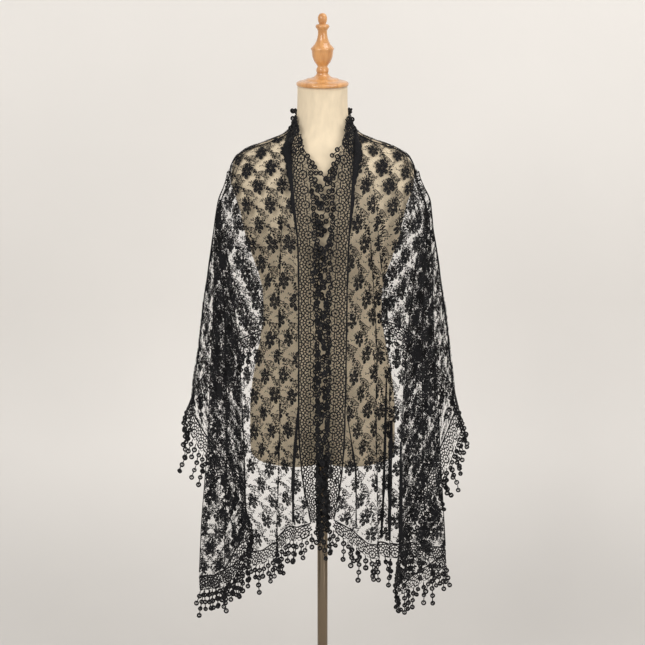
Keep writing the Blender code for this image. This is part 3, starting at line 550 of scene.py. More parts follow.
def push_off_form(grid):
    """Moves a grid's points off the form until its cells clear it as well."""
    points = np.array(grid)
    shares = cell_shares()
    for _ in range(40):
        corners = np.stack(
            [points[:-1, :-1], points[:-1, 1:], points[1:, 1:], points[1:, :-1]], axis=2
        )
        samples = np.einsum("sc,ijcx->ijsx", shares, corners)
        off, way = form_distance(samples.reshape(-1, 3))
        near = (samples.reshape(-1, 3)[:, 2] < NECK_TOP_Z) & (
            samples.reshape(-1, 3)[:, 2] > FORM_BOTTOM_Z + 0.002
        )
        lack = np.where(near, np.maximum(0.0, BODY_LEAST - off), 0.0)
        if lack.max() < 1e-5:
            break
        push = (way * lack[:, None]).reshape(samples.shape)
        lack = lack.reshape(samples.shape[:3])
        moves = np.zeros_like(points)
        most = np.zeros(points.shape[:2])
        for c, (di, dj) in enumerate(((0, 0), (0, 1), (1, 1), (1, 0))):
            weighted = lack * shares[:, c]
            best = weighted.argmax(axis=2)
            i, j = np.indices(best.shape)
            amount = weighted[i, j, best]
            move = push[i, j, best] * shares[best, c][..., None]
            held = most[i + di, j + dj]
            wins = amount > held
            most[(i + di)[wins], (j + dj)[wins]] = amount[wins]
            moves[(i + di)[wins], (j + dj)[wins]] = move[wins]
        points = points + moves * 1.15
    return [[points[i, j] for j in range(points.shape[1])] for i in range(points.shape[0])]


def front_point(side, column, share):
    """A point of a front panel's middle surface; side -1 is the photograph's left."""
    left = side < 0
    columns = FRONT_COLUMNS_LEFT if left else FRONT_COLUMNS_RIGHT
    _, top_x, wave, low_z = columns[column]
    top_z = ridge_height(top_x, RIDGE_CLEARANCE)
    z = top_z + (low_z - top_z) * share
    open_now = along(FOLD_OPEN, z)
    edge_x = along(EDGE_LEFT if left else EDGE_RIGHT, z)
    fold1_x = along(FOLD1_LEFT if left else FOLD1_RIGHT, z)
    fold2_x = along(FOLD2, z)
    last_x = columns[-1][1]
    ridge_x, ridge_y = ridge_line(side, z, last_x, ridge_height(last_x, RIDGE_CLEARANCE))
    edge_y = along(EDGE_DEPTH, z)
    fold1_y = along(FOLD1_DEPTH, z)
    if column < 8:
        spread = (FRONT_SPREAD_LEFT if left else FRONT_SPREAD_RIGHT)[column]
        bow = FRONT_BOW[column]
        x = edge_x + (fold1_x - edge_x) * spread
        y = edge_y + (fold1_y - 0.006 * open_now - edge_y) * bow
        y += wave * along(WAVE_DEPTH, z)
    else:
        flat = (column - 8) / 10
        flat_x = fold1_x - 0.004 + (ridge_x - fold1_x + 0.004) * flat
        flat_y = fold1_y - 0.002 + (ridge_y - fold1_y + 0.002) * flat
        folded = {
            8: (fold1_x - 0.0070, fold1_y - 0.0068),
            9: (fold1_x, fold1_y - 0.0005),
            10: (fold1_x - 0.0060, fold1_y + 0.0062),
            11: (fold1_x - 0.44 * (fold1_x - fold2_x), fold1_y + 0.0100),
            12: (fold1_x - 0.74 * (fold1_x - fold2_x), fold1_y + 0.0140),
            13: (fold2_x + 0.0055, fold1_y + 0.0180),
            14: (fold2_x, fold1_y + 0.0240),
            15: (fold2_x + 0.0060, fold1_y + 0.0300),
            16: (fold2_x + 0.34 * (ridge_x - fold2_x), ridge_y - 0.0100),
            17: (fold2_x + 0.68 * (ridge_x - fold2_x), ridge_y - 0.0046),
            18: (ridge_x, ridge_y),
        }[column]
        x = flat_x + (folded[0] - flat_x) * open_now
        y = flat_y + (folded[1] - flat_y) * open_now
    if column == len(columns) - 1:
        return np.array((side * ridge_x, ridge_y - ridge_parting(z, top_z), z))
    settle = max(0.0, 1 - share / 0.115) ** 1.4
    x = x + (top_x - x) * settle
    y = y * (1 - settle) - ridge_parting(z, top_z)
    grow = RIDGE_CLEARANCE + (BODY_CLEARANCE - RIDGE_CLEARANCE) * min(1.0, share / 0.028)
    body = form_depths(x, z, grow)
    if body and column < 13:
        y = min(y, body[0])
    return np.array((side * x, y, z))


def back_columns():
    """Side and row of each column of the back panel, from left ridge to right."""
    return (
        [(-1, row) for row in BACK_COLUMNS_LEFT]
        + [(1, BACK_MIDDLE)]
        + [(1, row) for row in reversed(BACK_COLUMNS_RIGHT)]
    )


def back_point(column, share):
    """A point of the back panel's middle surface, columns from left ridge to right."""
    side, (name, top_x, mid_x, mid_y, low_x, low_y, low_z) = back_columns()[column]
    if top_x >= NAPE_HALF_WIDTH:
        top_z = ridge_height(top_x, RIDGE_CLEARANCE)
        top_y = 0.0
    else:
        nape_drop = NAPE_Z - ridge_height(NAPE_HALF_WIDTH, RIDGE_CLEARANCE)
        top_z = NAPE_Z - nape_drop * (top_x / NAPE_HALF_WIDTH) ** 2
        top_y = form_depths(top_x, top_z, BODY_CLEARANCE)[1]
    z = top_z + (low_z - top_z) * share
    if name == "ridge":
        x, y = ridge_line(side, z, top_x, top_z)
        return np.array((side * x, y + ridge_parting(z, top_z), z))
    keys = ((0.0, top_x, top_y), (0.46, mid_x, mid_y), (1.0, low_x, low_y))
    x = along(keys, share, 1)
    y = along(keys, share, 2) + ridge_parting(z, top_z)
    grow = RIDGE_CLEARANCE + (BODY_CLEARANCE - RIDGE_CLEARANCE) * min(1.0, share / 0.045)
    body = form_depths(x, z, grow)
    if body:
        y = max(y, body[1])
    return np.array((side * x, y, z))


def unit(v):
    """A vector at length 1."""
    return np.asarray(v, float) / max(1e-9, float(np.linalg.norm(v)))

# The padded cover stands a little off the solid around the neck
FINE_SECTIONS[0] += np.interp(FINE_Z, (1.365, 1.395, NECK_TOP_Z), (0.0, 0.0040, 0.0036))


# Soft creases of the front panels: half width at shoulder, waist and hem, then
# the crease's own half width and depth
CREASES_LEFT = (
    (0.072, 0.060, 0.050, 0.0045, 0.0050),
    (0.079, 0.084, 0.086, 0.0040, 0.0095),
    (0.096, 0.112, 0.118, 0.0070, 0.0060),
    (0.112, 0.136, 0.146, 0.0050, 0.0085),
    (0.130, 0.166, 0.178, 0.0060, 0.0070),
    (0.146, 0.190, 0.212, 0.0050, 0.0060),
)
CREASES_RIGHT = (
    (0.074, 0.070, 0.072, 0.0055, 0.0055),
    (0.082, 0.103, 0.106, 0.0040, 0.0100),
    (0.092, 0.126, 0.129, 0.0045, 0.0100),
    (0.110, 0.146, 0.156, 0.0065, 0.0060),
    (0.128, 0.170, 0.184, 0.0050, 0.0075),
    (0.146, 0.194, 0.216, 0.0050, 0.0060),
)
CREASES_BACK = (
    (-0.120, -0.170, -0.200, 0.0080, 0.0070),
    (-0.085, -0.115, -0.128, 0.0070, 0.0080),
    (-0.045, -0.052, -0.060, 0.0090, 0.0060),
    (0.012, 0.010, 0.004, 0.0080, 0.0050),
    (0.058, 0.070, 0.078, 0.0070, 0.0075),
    (0.098, 0.132, 0.150, 0.0080, 0.0070),
    (0.130, 0.186, 0.214, 0.0070, 0.0060),
)
# Pressed pleats of the fronts: half width at shoulder, waist and hem, then the
# pleat's own half width and depth
PLEATS_LEFT = ((0.074, 0.083, 0.087, 0.0062, 0.0045),)
PLEATS_RIGHT = ((0.080, 0.104, 0.107, 0.0060, 0.0045), (0.094, 0.129, 0.131, 0.0066, 0.0045))
# Heights of hem, waist and shoulder in these tables, and how far creases reach up
CREASE_HEIGHTS = (0.55, 0.95, 1.33)
CREASE_REACH = ((0.40, 1.1), (1.120, 1.0), (1.240, 0.60), (1.310, 0.25), (1.345, 0.0))

# Parts of one lace repeat: place in the repeat, turn and size of each
REPEAT_LEAN = 0.0199
LEAF_PLACES = ((0.0330, 0.0120, 0.75, 1.05), (0.0215, 0.0290, -1.95, 0.95))
SPRIG_PLACES = (
    (0.0225, 0.0080, 1.15, 1.00),
    (0.0330, 0.0300, 1.00, 1.05),
    (0.0120, 0.0230, -0.35, 0.80),
    (0.0420, 0.0215, 2.35, 0.75),
)
VINE_PLACES = ((0.0265, 0.0190, 1.05, 1.10), (0.0090, 0.0330, 0.15, 0.70))
FLOWER_PLACES = ((0.0, 0.0, 0.0, 1.0),)
# How unevenly they lie: shift in metres, turn in radians, share of their size
PATTERN_SHIFT = 0.0010
PATTERN_TURN = 0.13
PATTERN_SIZE = 0.05

# Widths by height of the rolls at a front's seam and at its folds, then the columns
# in which the folds lie
SEAM_WIDTHS = (
    (1.386, 0.0100), (1.350, 0.0145), (1.305, 0.0110), (1.265, 0.0068), (1.220, 0.0046), (1.170, 0.0030),
    (0.45, 0.0028),
)
FOLD_WIDTHS = ((1.330, 0.0010), (1.280, 0.0020), (1.150, 0.0030), (0.900, 0.0026), (0.45, 0.0022))
FOLD_LINES = {"left": (9.0, 11.3, 14.0, 17.9), "right": (9.0, 11.0, 14.0, 17.9)}

# Heights between which the backdrop's painted shade fades out, and how dark the painted shade leaves it at
# the lower one
BACKDROP_PAINTED_SHADE = (0.0, 0.42, 0.77)

# Folds that drift across a front: distance from the middle and width, by height
DRIFTS = {
    "left": (
        (
            (
                (0.900, 0.0436), (0.876, 0.0448), (0.796, 0.0520),
                (0.715, 0.0570), (0.600, 0.0572), (0.45, 0.0572),
            ),
            (
                (0.900, 0.0020), (0.860, 0.0042), (0.780, 0.0072),
                (0.640, 0.0078), (0.560, 0.0040), (0.45, 0.0026),
            ),
        ),
    ),
    "right": (
        (
            ((0.860, 0.0455), (0.800, 0.0560), (0.735, 0.0648), (0.600, 0.0660), (0.45, 0.0668)),
            ((0.860, 0.0016), (0.800, 0.0026), (0.735, 0.0048), (0.680, 0.0030), (0.45, 0.0022)),
        ),
        (
            ((0.960, 0.1225), (0.750, 0.1195), (0.600, 0.1150), (0.45, 0.1150)),
            ((0.960, 0.0016), (0.860, 0.0044), (0.700, 0.0056), (0.600, 0.0046), (0.45, 0.0030)),
        ),
        (
            ((0.880, 0.1330), (0.700, 0.1310), (0.560, 0.1325), (0.45, 0.1330)),
            ((0.880, 0.0014), (0.800, 0.0070), (0.650, 0.0085), (0.560, 0.0075), (0.45, 0.0030)),
        ),
        (
            ((0.840, 0.1510), (0.700, 0.1540), (0.560, 0.1500), (0.45, 0.1500)),
            ((0.840, 0.0014), (0.740, 0.0060), (0.600, 0.0070), (0.520, 0.0050), (0.45, 0.0030)),
        ),
    ),
}


# Colours and sizes that the steps read from the scene
class ShawlSettings(bpy.types.PropertyGroup):
    """Sizes and colour of the lace, trim and fringe"""

    net_pitch: FloatProperty(
        name="Net pitch",
        description="Distance between the holes of the fine net ground",
        default=0.0026,
        min=0.0005,
        unit="LENGTH",
    )
    net_thread: FloatProperty(
        name="Net thread",
        description="Half width of the net's threads as a share of the pitch",
        default=0.019,
        min=0.005,
        max=0.4,
        subtype="FACTOR",
    )
    repeat_across: FloatProperty(
        name="Repeat across",
        description="Width of one repeat of the flower pattern",
        default=0.052,
        min=0.02,
        unit="LENGTH",
    )
    repeat_along: FloatProperty(
        name="Repeat along",
        description="Height of one repeat of the flower pattern",
        default=0.0367,
        min=0.02,
        unit="LENGTH",
    )
    cloth_step: FloatProperty(
        name="Cloth step",
        description="Length of a face of the panels",
        default=0.0038,
        min=0.002,
        unit="LENGTH",
    )
    trim_repeat: FloatProperty(
        name="Trim repeat",
        description="Length of one scallop of the guipure trim",
        default=0.0285,
        min=0.01,
        unit="LENGTH",
    )
    ring_diameter: FloatProperty(
        name="Ring diameter",
        description="Diameter of one ring of the fringe",
        default=0.0112,
        min=0.004,
        unit="LENGTH",
    )
    drop_spacing: FloatProperty(
        name="Drop spacing",
        description="Distance between the drops of the fringe",
        default=0.0122,
        min=0.004,
        unit="LENGTH",
    )
    thread_colour: FloatVectorProperty(
        name="Thread",
        description="Colour of the lace, trim and fringe",
        default=(0.0105, 0.0105, 0.0120),
        size=3,
        min=0.0,
        max=1.0,
        subtype="COLOR",
    )
    seed: IntProperty(
        name="Seed",
        description="Seed of the small differences between repeats",
        default=7,
        min=0,
    )


class FormSettings(bpy.types.PropertyGroup):
    """Colours of the form, its stand and the backdrop"""

    linen_colour: FloatVectorProperty(
        name="Linen",
        description="Colour of the form's cover",
        default=(0.78, 0.655, 0.475),
        size=3,
        min=0.0,
        max=1.0,
        subtype="COLOR",
    )
    wood_colour: FloatVectorProperty(
        name="Wood",
        description="Colour of the turned cap",
        default=(0.66, 0.32, 0.105),
        size=3,
        min=0.0,
        max=1.0,
        subtype="COLOR",
    )
    metal_colour: FloatVectorProperty(
        name="Metal",
        description="Colour of the pole and base",
        default=(0.23, 0.18, 0.125),
        size=3,
        min=0.0,
        max=1.0,
        subtype="COLOR",
    )
    wall_colour: FloatVectorProperty(
        name="Wall",
        description="Colour of the floor and backdrop",
        default=(0.80, 0.775, 0.745),
        size=3,
        min=0.0,
        max=1.0,
        subtype="COLOR",
    )


# Meshes and their places
def finished(name, mesh, replaces=(), smooth=True):
    """A piece of the object from a mesh that holds its own place."""
    if smooth:
        for face in mesh.polygons:
            face.use_smooth = True
    made = bpy.data.objects.new(name, mesh)
    bpy.context.scene.collection.objects.link(made)
    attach(made, "root")
    if replaces:
        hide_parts(*replaces)
    return made


def mesh_from(name, points, faces, uvs=None, material=None):
    """A mesh with faces in their given order and a map in metres."""
    mesh = bpy.data.meshes.new(name)
    mesh.from_pydata([tuple(map(float, p)) for p in points], [], [tuple(f) for f in faces])
    if uvs is not None:
        layer = mesh.uv_layers.new(name="Cloth")
        corners = np.zeros(len(mesh.loops), np.int32)
        mesh.loops.foreach_get("vertex_index", corners)
        layer.data.foreach_set("uv", np.asarray(uvs, np.float32)[corners].ravel())
    if material is not None:
        mesh.materials.append(material)
    mesh.update()
    return mesh


def grid_faces(rows, wide, flip=False, closed=False):
    """Faces between the points of a grid, row by row."""
    faces = []
    last = wide if closed else wide - 1
    for i in range(rows - 1):
        for j in range(last):
            n = (j + 1) % wide
            face = (i * wide + j, (i + 1) * wide + j, (i + 1) * wide + n, i * wide + n)
            faces.append(face[::-1] if flip else face)
    return faces


def face_outwards(mesh):
    """Turns the faces of a mesh outwards."""
    work = bmesh.new()
    work.from_mesh(mesh)
    bmesh.ops.recalc_face_normals(work, faces=work.faces)
    work.to_mesh(mesh)
    work.free()


def through(points, cuts):
    """A smooth curve through an array's first axis, with its own cuts for each cell."""
    points = np.asarray(points, float)
    ends = np.concatenate([2 * points[:1] - points[1:2], points, 2 * points[-1:] - points[-2:-1]])
    steps = np.maximum(1e-5, np.linalg.norm(np.diff(ends, axis=0), axis=-1)) ** 0.5
    knots = np.concatenate([np.zeros_like(steps[:1]), np.cumsum(steps, axis=0)])
    made = []
    for i in range(len(points) - 1):
        p0, p1, p2, p3 = ends[i : i + 4]
        t0, t1, t2, t3 = (k[..., None] for k in knots[i : i + 4])
        for c in range(cuts[i]):
            t = t1 + (t2 - t1) * c / cuts[i]
            a1 = p0 * (t1 - t) / (t1 - t0) + p1 * (t - t0) / (t1 - t0)
            a2 = p1 * (t2 - t) / (t2 - t1) + p2 * (t - t1) / (t2 - t1)
            a3 = p2 * (t3 - t) / (t3 - t2) + p3 * (t - t2) / (t3 - t2)
            b1 = a1 * (t2 - t) / (t2 - t0) + a2 * (t - t0) / (t2 - t0)
            b2 = a2 * (t3 - t) / (t3 - t1) + a3 * (t - t1) / (t3 - t1)
            made.append(b1 * (t2 - t) / (t2 - t1) + b2 * (t - t1) / (t2 - t1))
    made.append(points[-1])
    return np.array(made)


def cuts_for(points, step):
    """How many cuts each cell along an array's first axis needs."""
    long = np.linalg.norm(np.diff(points, axis=0), axis=-1)
    long = long.reshape(len(long), -1).max(axis=1)
    return [max(1, int(math.ceil(d / step))) for d in long]


def off_form(points, least):
    """Points moved off the form where they come nearer to it than allowed."""
    points = np.array(points, float)
    shape = points.shape
    flat = points.reshape(-1, 3)
    for _ in range(6):
        near = (flat[:, 2] < NECK_TOP_Z) & (flat[:, 2] > FORM_BOTTOM_Z + 0.001)
        off, way = form_distance(flat)
        lack = np.where(near, np.maximum(0.0, least - off), 0.0)
        if lack.max() < 1e-5:
            break
        flat = flat + way * np.minimum(lack, 0.01)[:, None]
    return flat.reshape(shape)


# The three panels
PANEL_GRIDS = {}


def panel_grid(name):
    """The coarse grid of a panel's middle, the same one as its solid has."""
    if name not in PANEL_GRIDS:
        if name == "back":
            count = len(back_columns())
            grid = [[back_point(j, f) for j in range(count)] for f in BACK_ROWS]
        else:
            side = -1 if name == "left" else 1
            count = len(FRONT_COLUMNS_LEFT)
            grid = [[front_point(side, j, f) for j in range(count)] for f in FRONT_ROWS]
        PANEL_GRIDS[name] = np.array(push_off_form(grid))
    return PANEL_GRIDS[name]


def crease_offset(points, creases, sign, seed):
    """How far the soft creases lift each point away from the form."""
    x = points[..., 0] * sign
    z = points[..., 2]
    reach = np.interp(z, *zip(*CREASE_REACH))
    lift = np.zeros_like(x)
    for k, (top, mid, low, wide, deep) in enumerate(creases):
        line = np.interp(z, CREASE_HEIGHTS, (low, mid, top))
        wander = 0.0030 * np.sin(z * 17 + 2.3 * k + seed) + 0.0016 * np.sin(z * 41 + 1.1 * k)
        strength = 0.78 + 0.30 * np.sin(z * 9 + 1.7 * k + seed)
        lift += deep * strength * np.exp(-(((x - line - wander) / wide) ** 2))
    return lift * reach


def pleated(points, pleats, sign):
    """Lays narrow pleats into a front: the cloth runs on, back under itself and on."""
    points = points.copy()
    x = points[..., 0] * sign
    z = points[..., 2]
    reach = np.interp(z, *zip(*CREASE_REACH))
    for k, (top, mid, low, wide, deep) in enumerate(pleats):
        line = np.interp(z, CREASE_HEIGHTS, (low, mid, top)) + 0.0020 * np.sin(z * 13 + k)
        s = (x - line) / wide
        near = np.exp(-(s**2)) * np.clip(reach * 1.3, 0, 1)
        points[..., 0] -= sign * wide * 1.9 * s * near
        points[..., 1] -= deep * near * (1.1 - 1.6 * s)
    return points


def fine_panel(name, step):
    """Fine points of a panel, and which of its columns each one stands in."""
    grid = panel_grid(name)
    across = grid.transpose(1, 0, 2)
    column_cuts = cuts_for(across, step)
    fine = through(across, column_cuts).transpose(1, 0, 2)
    row_cuts = cuts_for(grid, step * 1.5)
    fine = through(fine, row_cuts)
    places = []
    for j, cuts in enumerate(column_cuts):
        places += [j + c / cuts for c in range(cuts)]
    places = np.array(places + [len(column_cuts)])
    if name == "back":
        lift = crease_offset(fine, CREASES_BACK, 1, 0.4)
        lift *= np.clip((12 - np.abs(places - 12)) / 3, 0, 1)[None, :]
        fine[..., 1] += lift
    else:
        left = name == "left"
        creases = CREASES_LEFT if left else CREASES_RIGHT
        lift = crease_offset(fine, creases, -1 if left else 1, 1.0 if left else 2.2)
        fade = np.clip(places / 1.2, 0, 1) * np.clip((8.6 - places) / 1.4, 0, 1)
        fine[..., 1] -= lift * fade[None, :]
        fine = pleated(fine, PLEATS_LEFT if left else PLEATS_RIGHT, -1 if left else 1)
    fine = off_form(fine, FINE_CLEARANCE)
    return fine, places


def cloth_map(fine, places, middle, top_z):
    """Distance across and along the cloth for each fine point, in metres."""
    steps = np.linalg.norm(np.diff(fine, axis=1), axis=-1)
    across = np.concatenate([np.zeros((len(fine), 1)), np.cumsum(steps, axis=1)], axis=1)
    j = int(np.argmin(np.abs(places - middle)))
    across = across - across[:, j : j + 1]
    drops = np.linalg.norm(np.diff(fine, axis=0), axis=-1)
    along_ = np.concatenate([np.zeros((1, fine.shape[1])), np.cumsum(drops, axis=0)], axis=0)
    along_ = along_ + (top_z - fine[0, :, 2])[None, :]
    return np.stack([across, along_], axis=-1)


PANELS = {
    "left": ("lace_front_left", "front_left", 0.0, 1.3814),
    "right": ("lace_front_right", "front_right", 0.0, 1.3814),
    "back": ("lace_back", "back", 12.0, NAPE_Z),
}
FINE = {}


def panel_parts(name):
    """Fine points, their columns and their map, made once for each panel."""
    if name not in FINE:
        step = bpy.context.scene.shawl.cloth_step
        fine, places = fine_panel(name, step)
        FINE[name] = (fine, places, cloth_map(fine, places, PANELS[name][2], PANELS[name][3]))
    return FINE[name]


# Trims: the edge that each is sewn to, and the way in which its width points
def edge_of(name):
    """Points and width directions along the edge that a trim is sewn to."""
    panel, kind = {
        "trim_front_left": ("left", "front"),
        "trim_front_right": ("right", "front"),
        "trim_hem_left": ("left", "hem"),
        "trim_hem_right": ("right", "hem"),
        "trim_side_left": ("left", "side"),
        "trim_side_right": ("right", "side"),
        "trim_back": ("back", "hem"),
        "trim_neck": ("back", "neck"),
    }[name]
    fine, places, _ = panel_parts(panel)
    side = -1 if panel == "left" else 1
    if kind == "front":
        line = fine[:, 0]
        rows = [[r[0], r[c]] for c in (1, 2, 3) for r in EDGE_TRIM_TURN]
        n = len(EDGE_TRIM_TURN)
        signs = ((side, rows[:n]), (1, rows[n : 2 * n]), (1, rows[2 * n :]))
        ways = [unit([sign * along(table, p[2]) for sign, table in signs]) for p in line]
        return line, np.array(ways)
    if panel == "back":
        count = len(back_columns())
        half = (count - 1) / 2
        if kind == "hem":
            ways = []
            for place in places:
                share = abs(place - half) / half
                out = 0.44 * max(0.0, (share - 0.72) / 0.28) ** 1.3
                ways.append(unit((math.copysign(out, place - half), 0.04 * (1 - share), -1.0)))
            return fine[-1], np.array(ways)
        first = next(j for j, (_, row) in enumerate(back_columns()) if row[0] == "k8")
        keep = (places >= first) & (places <= count - 1 - first)
        line = fine[0][keep]
        share = np.abs(places[keep] - half) / (half - first)
        ways = [
            unit((math.copysign(0.45 * s**4, -p[0]), 0.10 * (1 - s), 0.93)) for p, s in zip(line, share)
        ]
        return line, np.array(ways)
    corner = CORNER_LEFT if side < 0 else CORNER_RIGHT
    turns = SIDE_TRIM_LEFT if side < 0 else SIDE_TRIM_RIGHT
    table = []
    low = [r for r in EDGE_TRIM_TURN if r[0] == 0.600][0]
    start = unit(unit((side * low[1], low[2], low[3])) + np.array((0, 0, -0.75)))
    for j in range(len(FRONT_COLUMNS_LEFT)):
        if j in turns:
            table.append(unit((side * turns[j][0], turns[j][1], turns[j][2])))
        else:
            table.append(start if j == 0 else unit((side * 0.02, 0.02, -1.0)))
    table = np.array(table)
    keep = places <= corner if kind == "hem" else places >= corner
    line = fine[-1][keep]
    at = places[keep]
    ways = np.stack([np.interp(at, np.arange(len(table)), table[:, c]) for c in range(3)], axis=1)
    return line, ways / np.linalg.norm(ways, axis=1)[:, None]


def resampled(line, ways, step):
    """The edge cut to even lengths, with its directions smoothed along it."""
    steps = np.linalg.norm(np.diff(line, axis=0), axis=1)
    keep = np.concatenate([[True], steps > 1e-6])
    line = line[keep]
    ways = ways[keep]
    at = np.concatenate([[0.0], np.cumsum(np.linalg.norm(np.diff(line, axis=0), axis=1))])
    count = max(3, int(round(at[-1] / step)))
    even = np.linspace(0.0, at[-1], count + 1)
    points = np.stack([np.interp(even, at, line[:, c]) for c in range(3)], axis=1)
    turns = np.stack([np.interp(even, at, ways[:, c]) for c in range(3)], axis=1)
    for _ in range(3):
        turns[1:-1] = (turns[:-2] + 2 * turns[1:-1] + turns[2:]) / 4
    return points, turns / np.linalg.norm(turns, axis=1)[:, None], even


TRIMS = (
    "trim_front_left", "trim_front_right", "trim_neck", "trim_hem_left",
    "trim_hem_right", "trim_side_left", "trim_side_right", "trim_back",
)
STRIPS = {}


def trim_strip(name):
    """Points along and across a trim, from seam to outer edge, and the distance along."""
    if name not in STRIPS:
        line, ways = edge_of(name)
        points, turns, at = resampled(line, ways, TRIM_STEP)
        shares = np.linspace(0.0, 1.0, TRIM_POINTS)
        strip = points[:, None] + turns[:, None] * (shares * TRIM_WIDTH)[None, :, None]
        way = np.gradient(points, axis=0)
        normal = np.cross(way, turns)
        normal /= np.maximum(1e-9, np.linalg.norm(normal, axis=1))[:, None]
        ripple = 0.0016 * np.sin(at / 0.031 + 0.8) + 0.0010 * np.sin(at / 0.0117)
        strip = strip + normal[:, None] * (ripple[:, None] * shares**2)[..., None]
        STRIPS[name] = (off_form(strip, FINE_CLEARANCE), at)
    return STRIPS[name]


# Charts of the small shapes, in metres and flat, each a few dozen faces
def band(points, widths, closed=False):
    """Corners and faces of a flat band along a line of points."""
    points = np.asarray(points, float)
    count = len(points)
    corners = []
    for k in range(count):
        before = points[(k - 1) % count if closed else max(0, k - 1)]
        after = points[(k + 1) % count if closed else min(count - 1, k + 1)]
        way = unit(after - before)
        side = np.array((-way[1], way[0]))
        corners += [points[k] + side * widths[k] / 2, points[k] - side * widths[k] / 2]
    faces = []
    for k in range(count if closed else count - 1):
        n = (k + 1) % count
        faces.append((2 * k, 2 * k + 1, 2 * n + 1, 2 * n))
    return corners, faces


def blob(centre, long, wide, turn, sides=6):
    """An oval dot as one face."""
    c = math.cos(turn)
    s = math.sin(turn)
    corners = []
    for k in range(sides):
        a = 2 * math.pi * k / sides
        x = math.cos(a) * long
        y = math.sin(a) * wide
        corners.append(np.array((centre[0] + c * x - s * y, centre[1] + s * x + c * y)))
    return corners, [tuple(range(sides))]


def flower_chart():
    """Six broad pointed petals round a small open eye."""
    tips = (1.00, 0.88, 0.95, 1.03, 0.90, 0.96)
    corners = []
    inner = []
    for k in range(6):
        base = math.pi / 2 + k * math.pi / 3
        outline = ((-0.52, 0.50), (-0.36, 0.86), (-0.14, 0.95), (0.02, 1.0), (0.20, 0.93), (0.38, 0.84))
        for turn, reach in outline:
            a = base + turn
            r = reach * (tips[k] if reach > 0.6 else 1.0)
            corners.append(np.array((math.cos(a) * r * 0.0138, math.sin(a) * r * 0.0168)))
            inner.append(np.array((math.cos(a), math.sin(a))) * 0.0018)
    count = len(corners)
    faces = [(count + k, k, (k + 1) % count, count + (k + 1) % count) for k in range(count)]
    return corners + inner, faces


def joined(parts):
    """Corners and faces of several parts as one chart."""
    corners = []
    faces = []
    for more, these in parts:
        start = len(corners)
        corners += list(more)
        faces += [tuple(start + k for k in face) for face in these]
    return corners, faces


def sprig_chart():
    """A bent stem with small oval leaves to both sides."""
    stem = [(-0.0105 + 0.0030 * k, 0.0012 * math.sin(0.9 * k)) for k in range(8)]
    parts = [band(stem, [0.0010] * 8)]
    for k in range(1, 8):
        side = 1 if k % 2 else -1
        x, y = stem[k]
        parts.append(blob((x, y + side * 0.0022), 0.0024, 0.0015, side * 0.9))
    parts.append(blob((stem[-1][0] + 0.0016, stem[-1][1]), 0.0026, 0.0017, 0.2))
    return joined(parts)


def leaf_chart():
    """A bent leaf: its outline, a midrib and hatching."""
    count = 7
    upper = []
    lower = []
    for k in range(count):
        t = k / (count - 1)
        x = -0.0105 + 0.0210 * t
        bend = 0.0032 * math.sin(math.pi * t)
        half = 0.0050 * math.sin(math.pi * t) ** 0.8
        upper.append((x, bend + half))
        lower.append((x, bend - half))
    parts = [band(upper, [0.0014] * count), band(lower, [0.0012] * count)]
    for k in range(1, count - 1):
        parts.append(band([lower[k], upper[k - 1 if k % 2 else k]], [0.0011, 0.0011]))
        parts.append(band([lower[k - 1], upper[k]], [0.0008, 0.0008]))
    return joined(parts)


def vine_chart():
    """A long thin curl with dots."""
    line = []
    for k in range(9):
        t = k / 8
        line.append((-0.0165 + 0.0330 * t, 0.0042 * math.sin(2 * math.pi * t)))
    parts = [band(line, [0.0012] * 9)]
    for k in (1, 3, 5, 7):
        parts.append(blob((line[k][0], line[k][1] + 0.0019), 0.0018, 0.0013, 0.5))
    return joined(parts)


def scallop_chart():
    """One scallop of the trim: X along it, Y from the seam to the outer edge."""
    centre = np.array((0.0, 0.0214))
    ring = [centre + 0.0075 * np.array((math.cos(a), math.sin(a))) for a in np.arange(12) * math.pi / 6]
    parts = [band(ring, [0.0023] * 12, closed=True), blob(centre, 0.0024, 0.0024, 0.3)]
    arcs = ((0.0130, 0.0019, 188, 352, 9), (0.0184, 0.0019, 220, 320, 7))
    for radius, wide, start, end, count in arcs:
        angles = np.radians(np.linspace(start, end, count + 1))
        line = [centre + radius * np.array((math.cos(a), math.sin(a))) for a in angles]
        parts.append(band(line, [wide] * (count + 1)))
    for first, last, start, end, count in (
        (0.0084, 0.0124, 196, 344, 6),
        (0.0136, 0.0178, 222, 318, 5),
        (0.0190, 0.0206, 240, 300, 4),
    ):
        for a in np.radians(np.linspace(start, end, count)):
            way = np.array((math.cos(a), math.sin(a)))
            parts.append(band([centre + first * way, centre + last * way], [0.0019, 0.0019]))
    for a in np.arange(6) * math.pi / 3 + 0.3:
        way = np.array((math.cos(a), math.sin(a)))
        parts.append(band([centre + 0.0020 * way, centre + 0.0068 * way], [0.0011, 0.0011]))
    for x in (-0.0142, -0.0047, 0.0048):
        parts.append(band([(x, 0.0010), (x + 0.0094, 0.0010)], [0.0016, 0.0016]))
    for way in (-1, 1):
        parts.append(band([(way * 0.0142, 0.0236), (way * 0.0086, 0.0222)], [0.0021, 0.0021]))
        parts.append(band([(way * 0.0142, 0.0210), (way * 0.0112, 0.0285), (0.0, 0.0300)], [0.0010] * 3))
        parts.append(band([(way * 0.0104, 0.0014), (way * 0.0104, 0.0052)], [0.0018, 0.0018]))
        parts.append(band([(way * 0.0142, 0.0056), (way * 0.0098, 0.0060)], [0.0018, 0.0018]))
        parts.append(band([(way * 0.0142, 0.0112), (way * 0.0110, 0.0106)], [0.0018, 0.0018]))
        parts.append(band([(way * 0.0060, 0.0276), (way * 0.0050, 0.0256)], [0.0017, 0.0017]))
    return joined(parts)


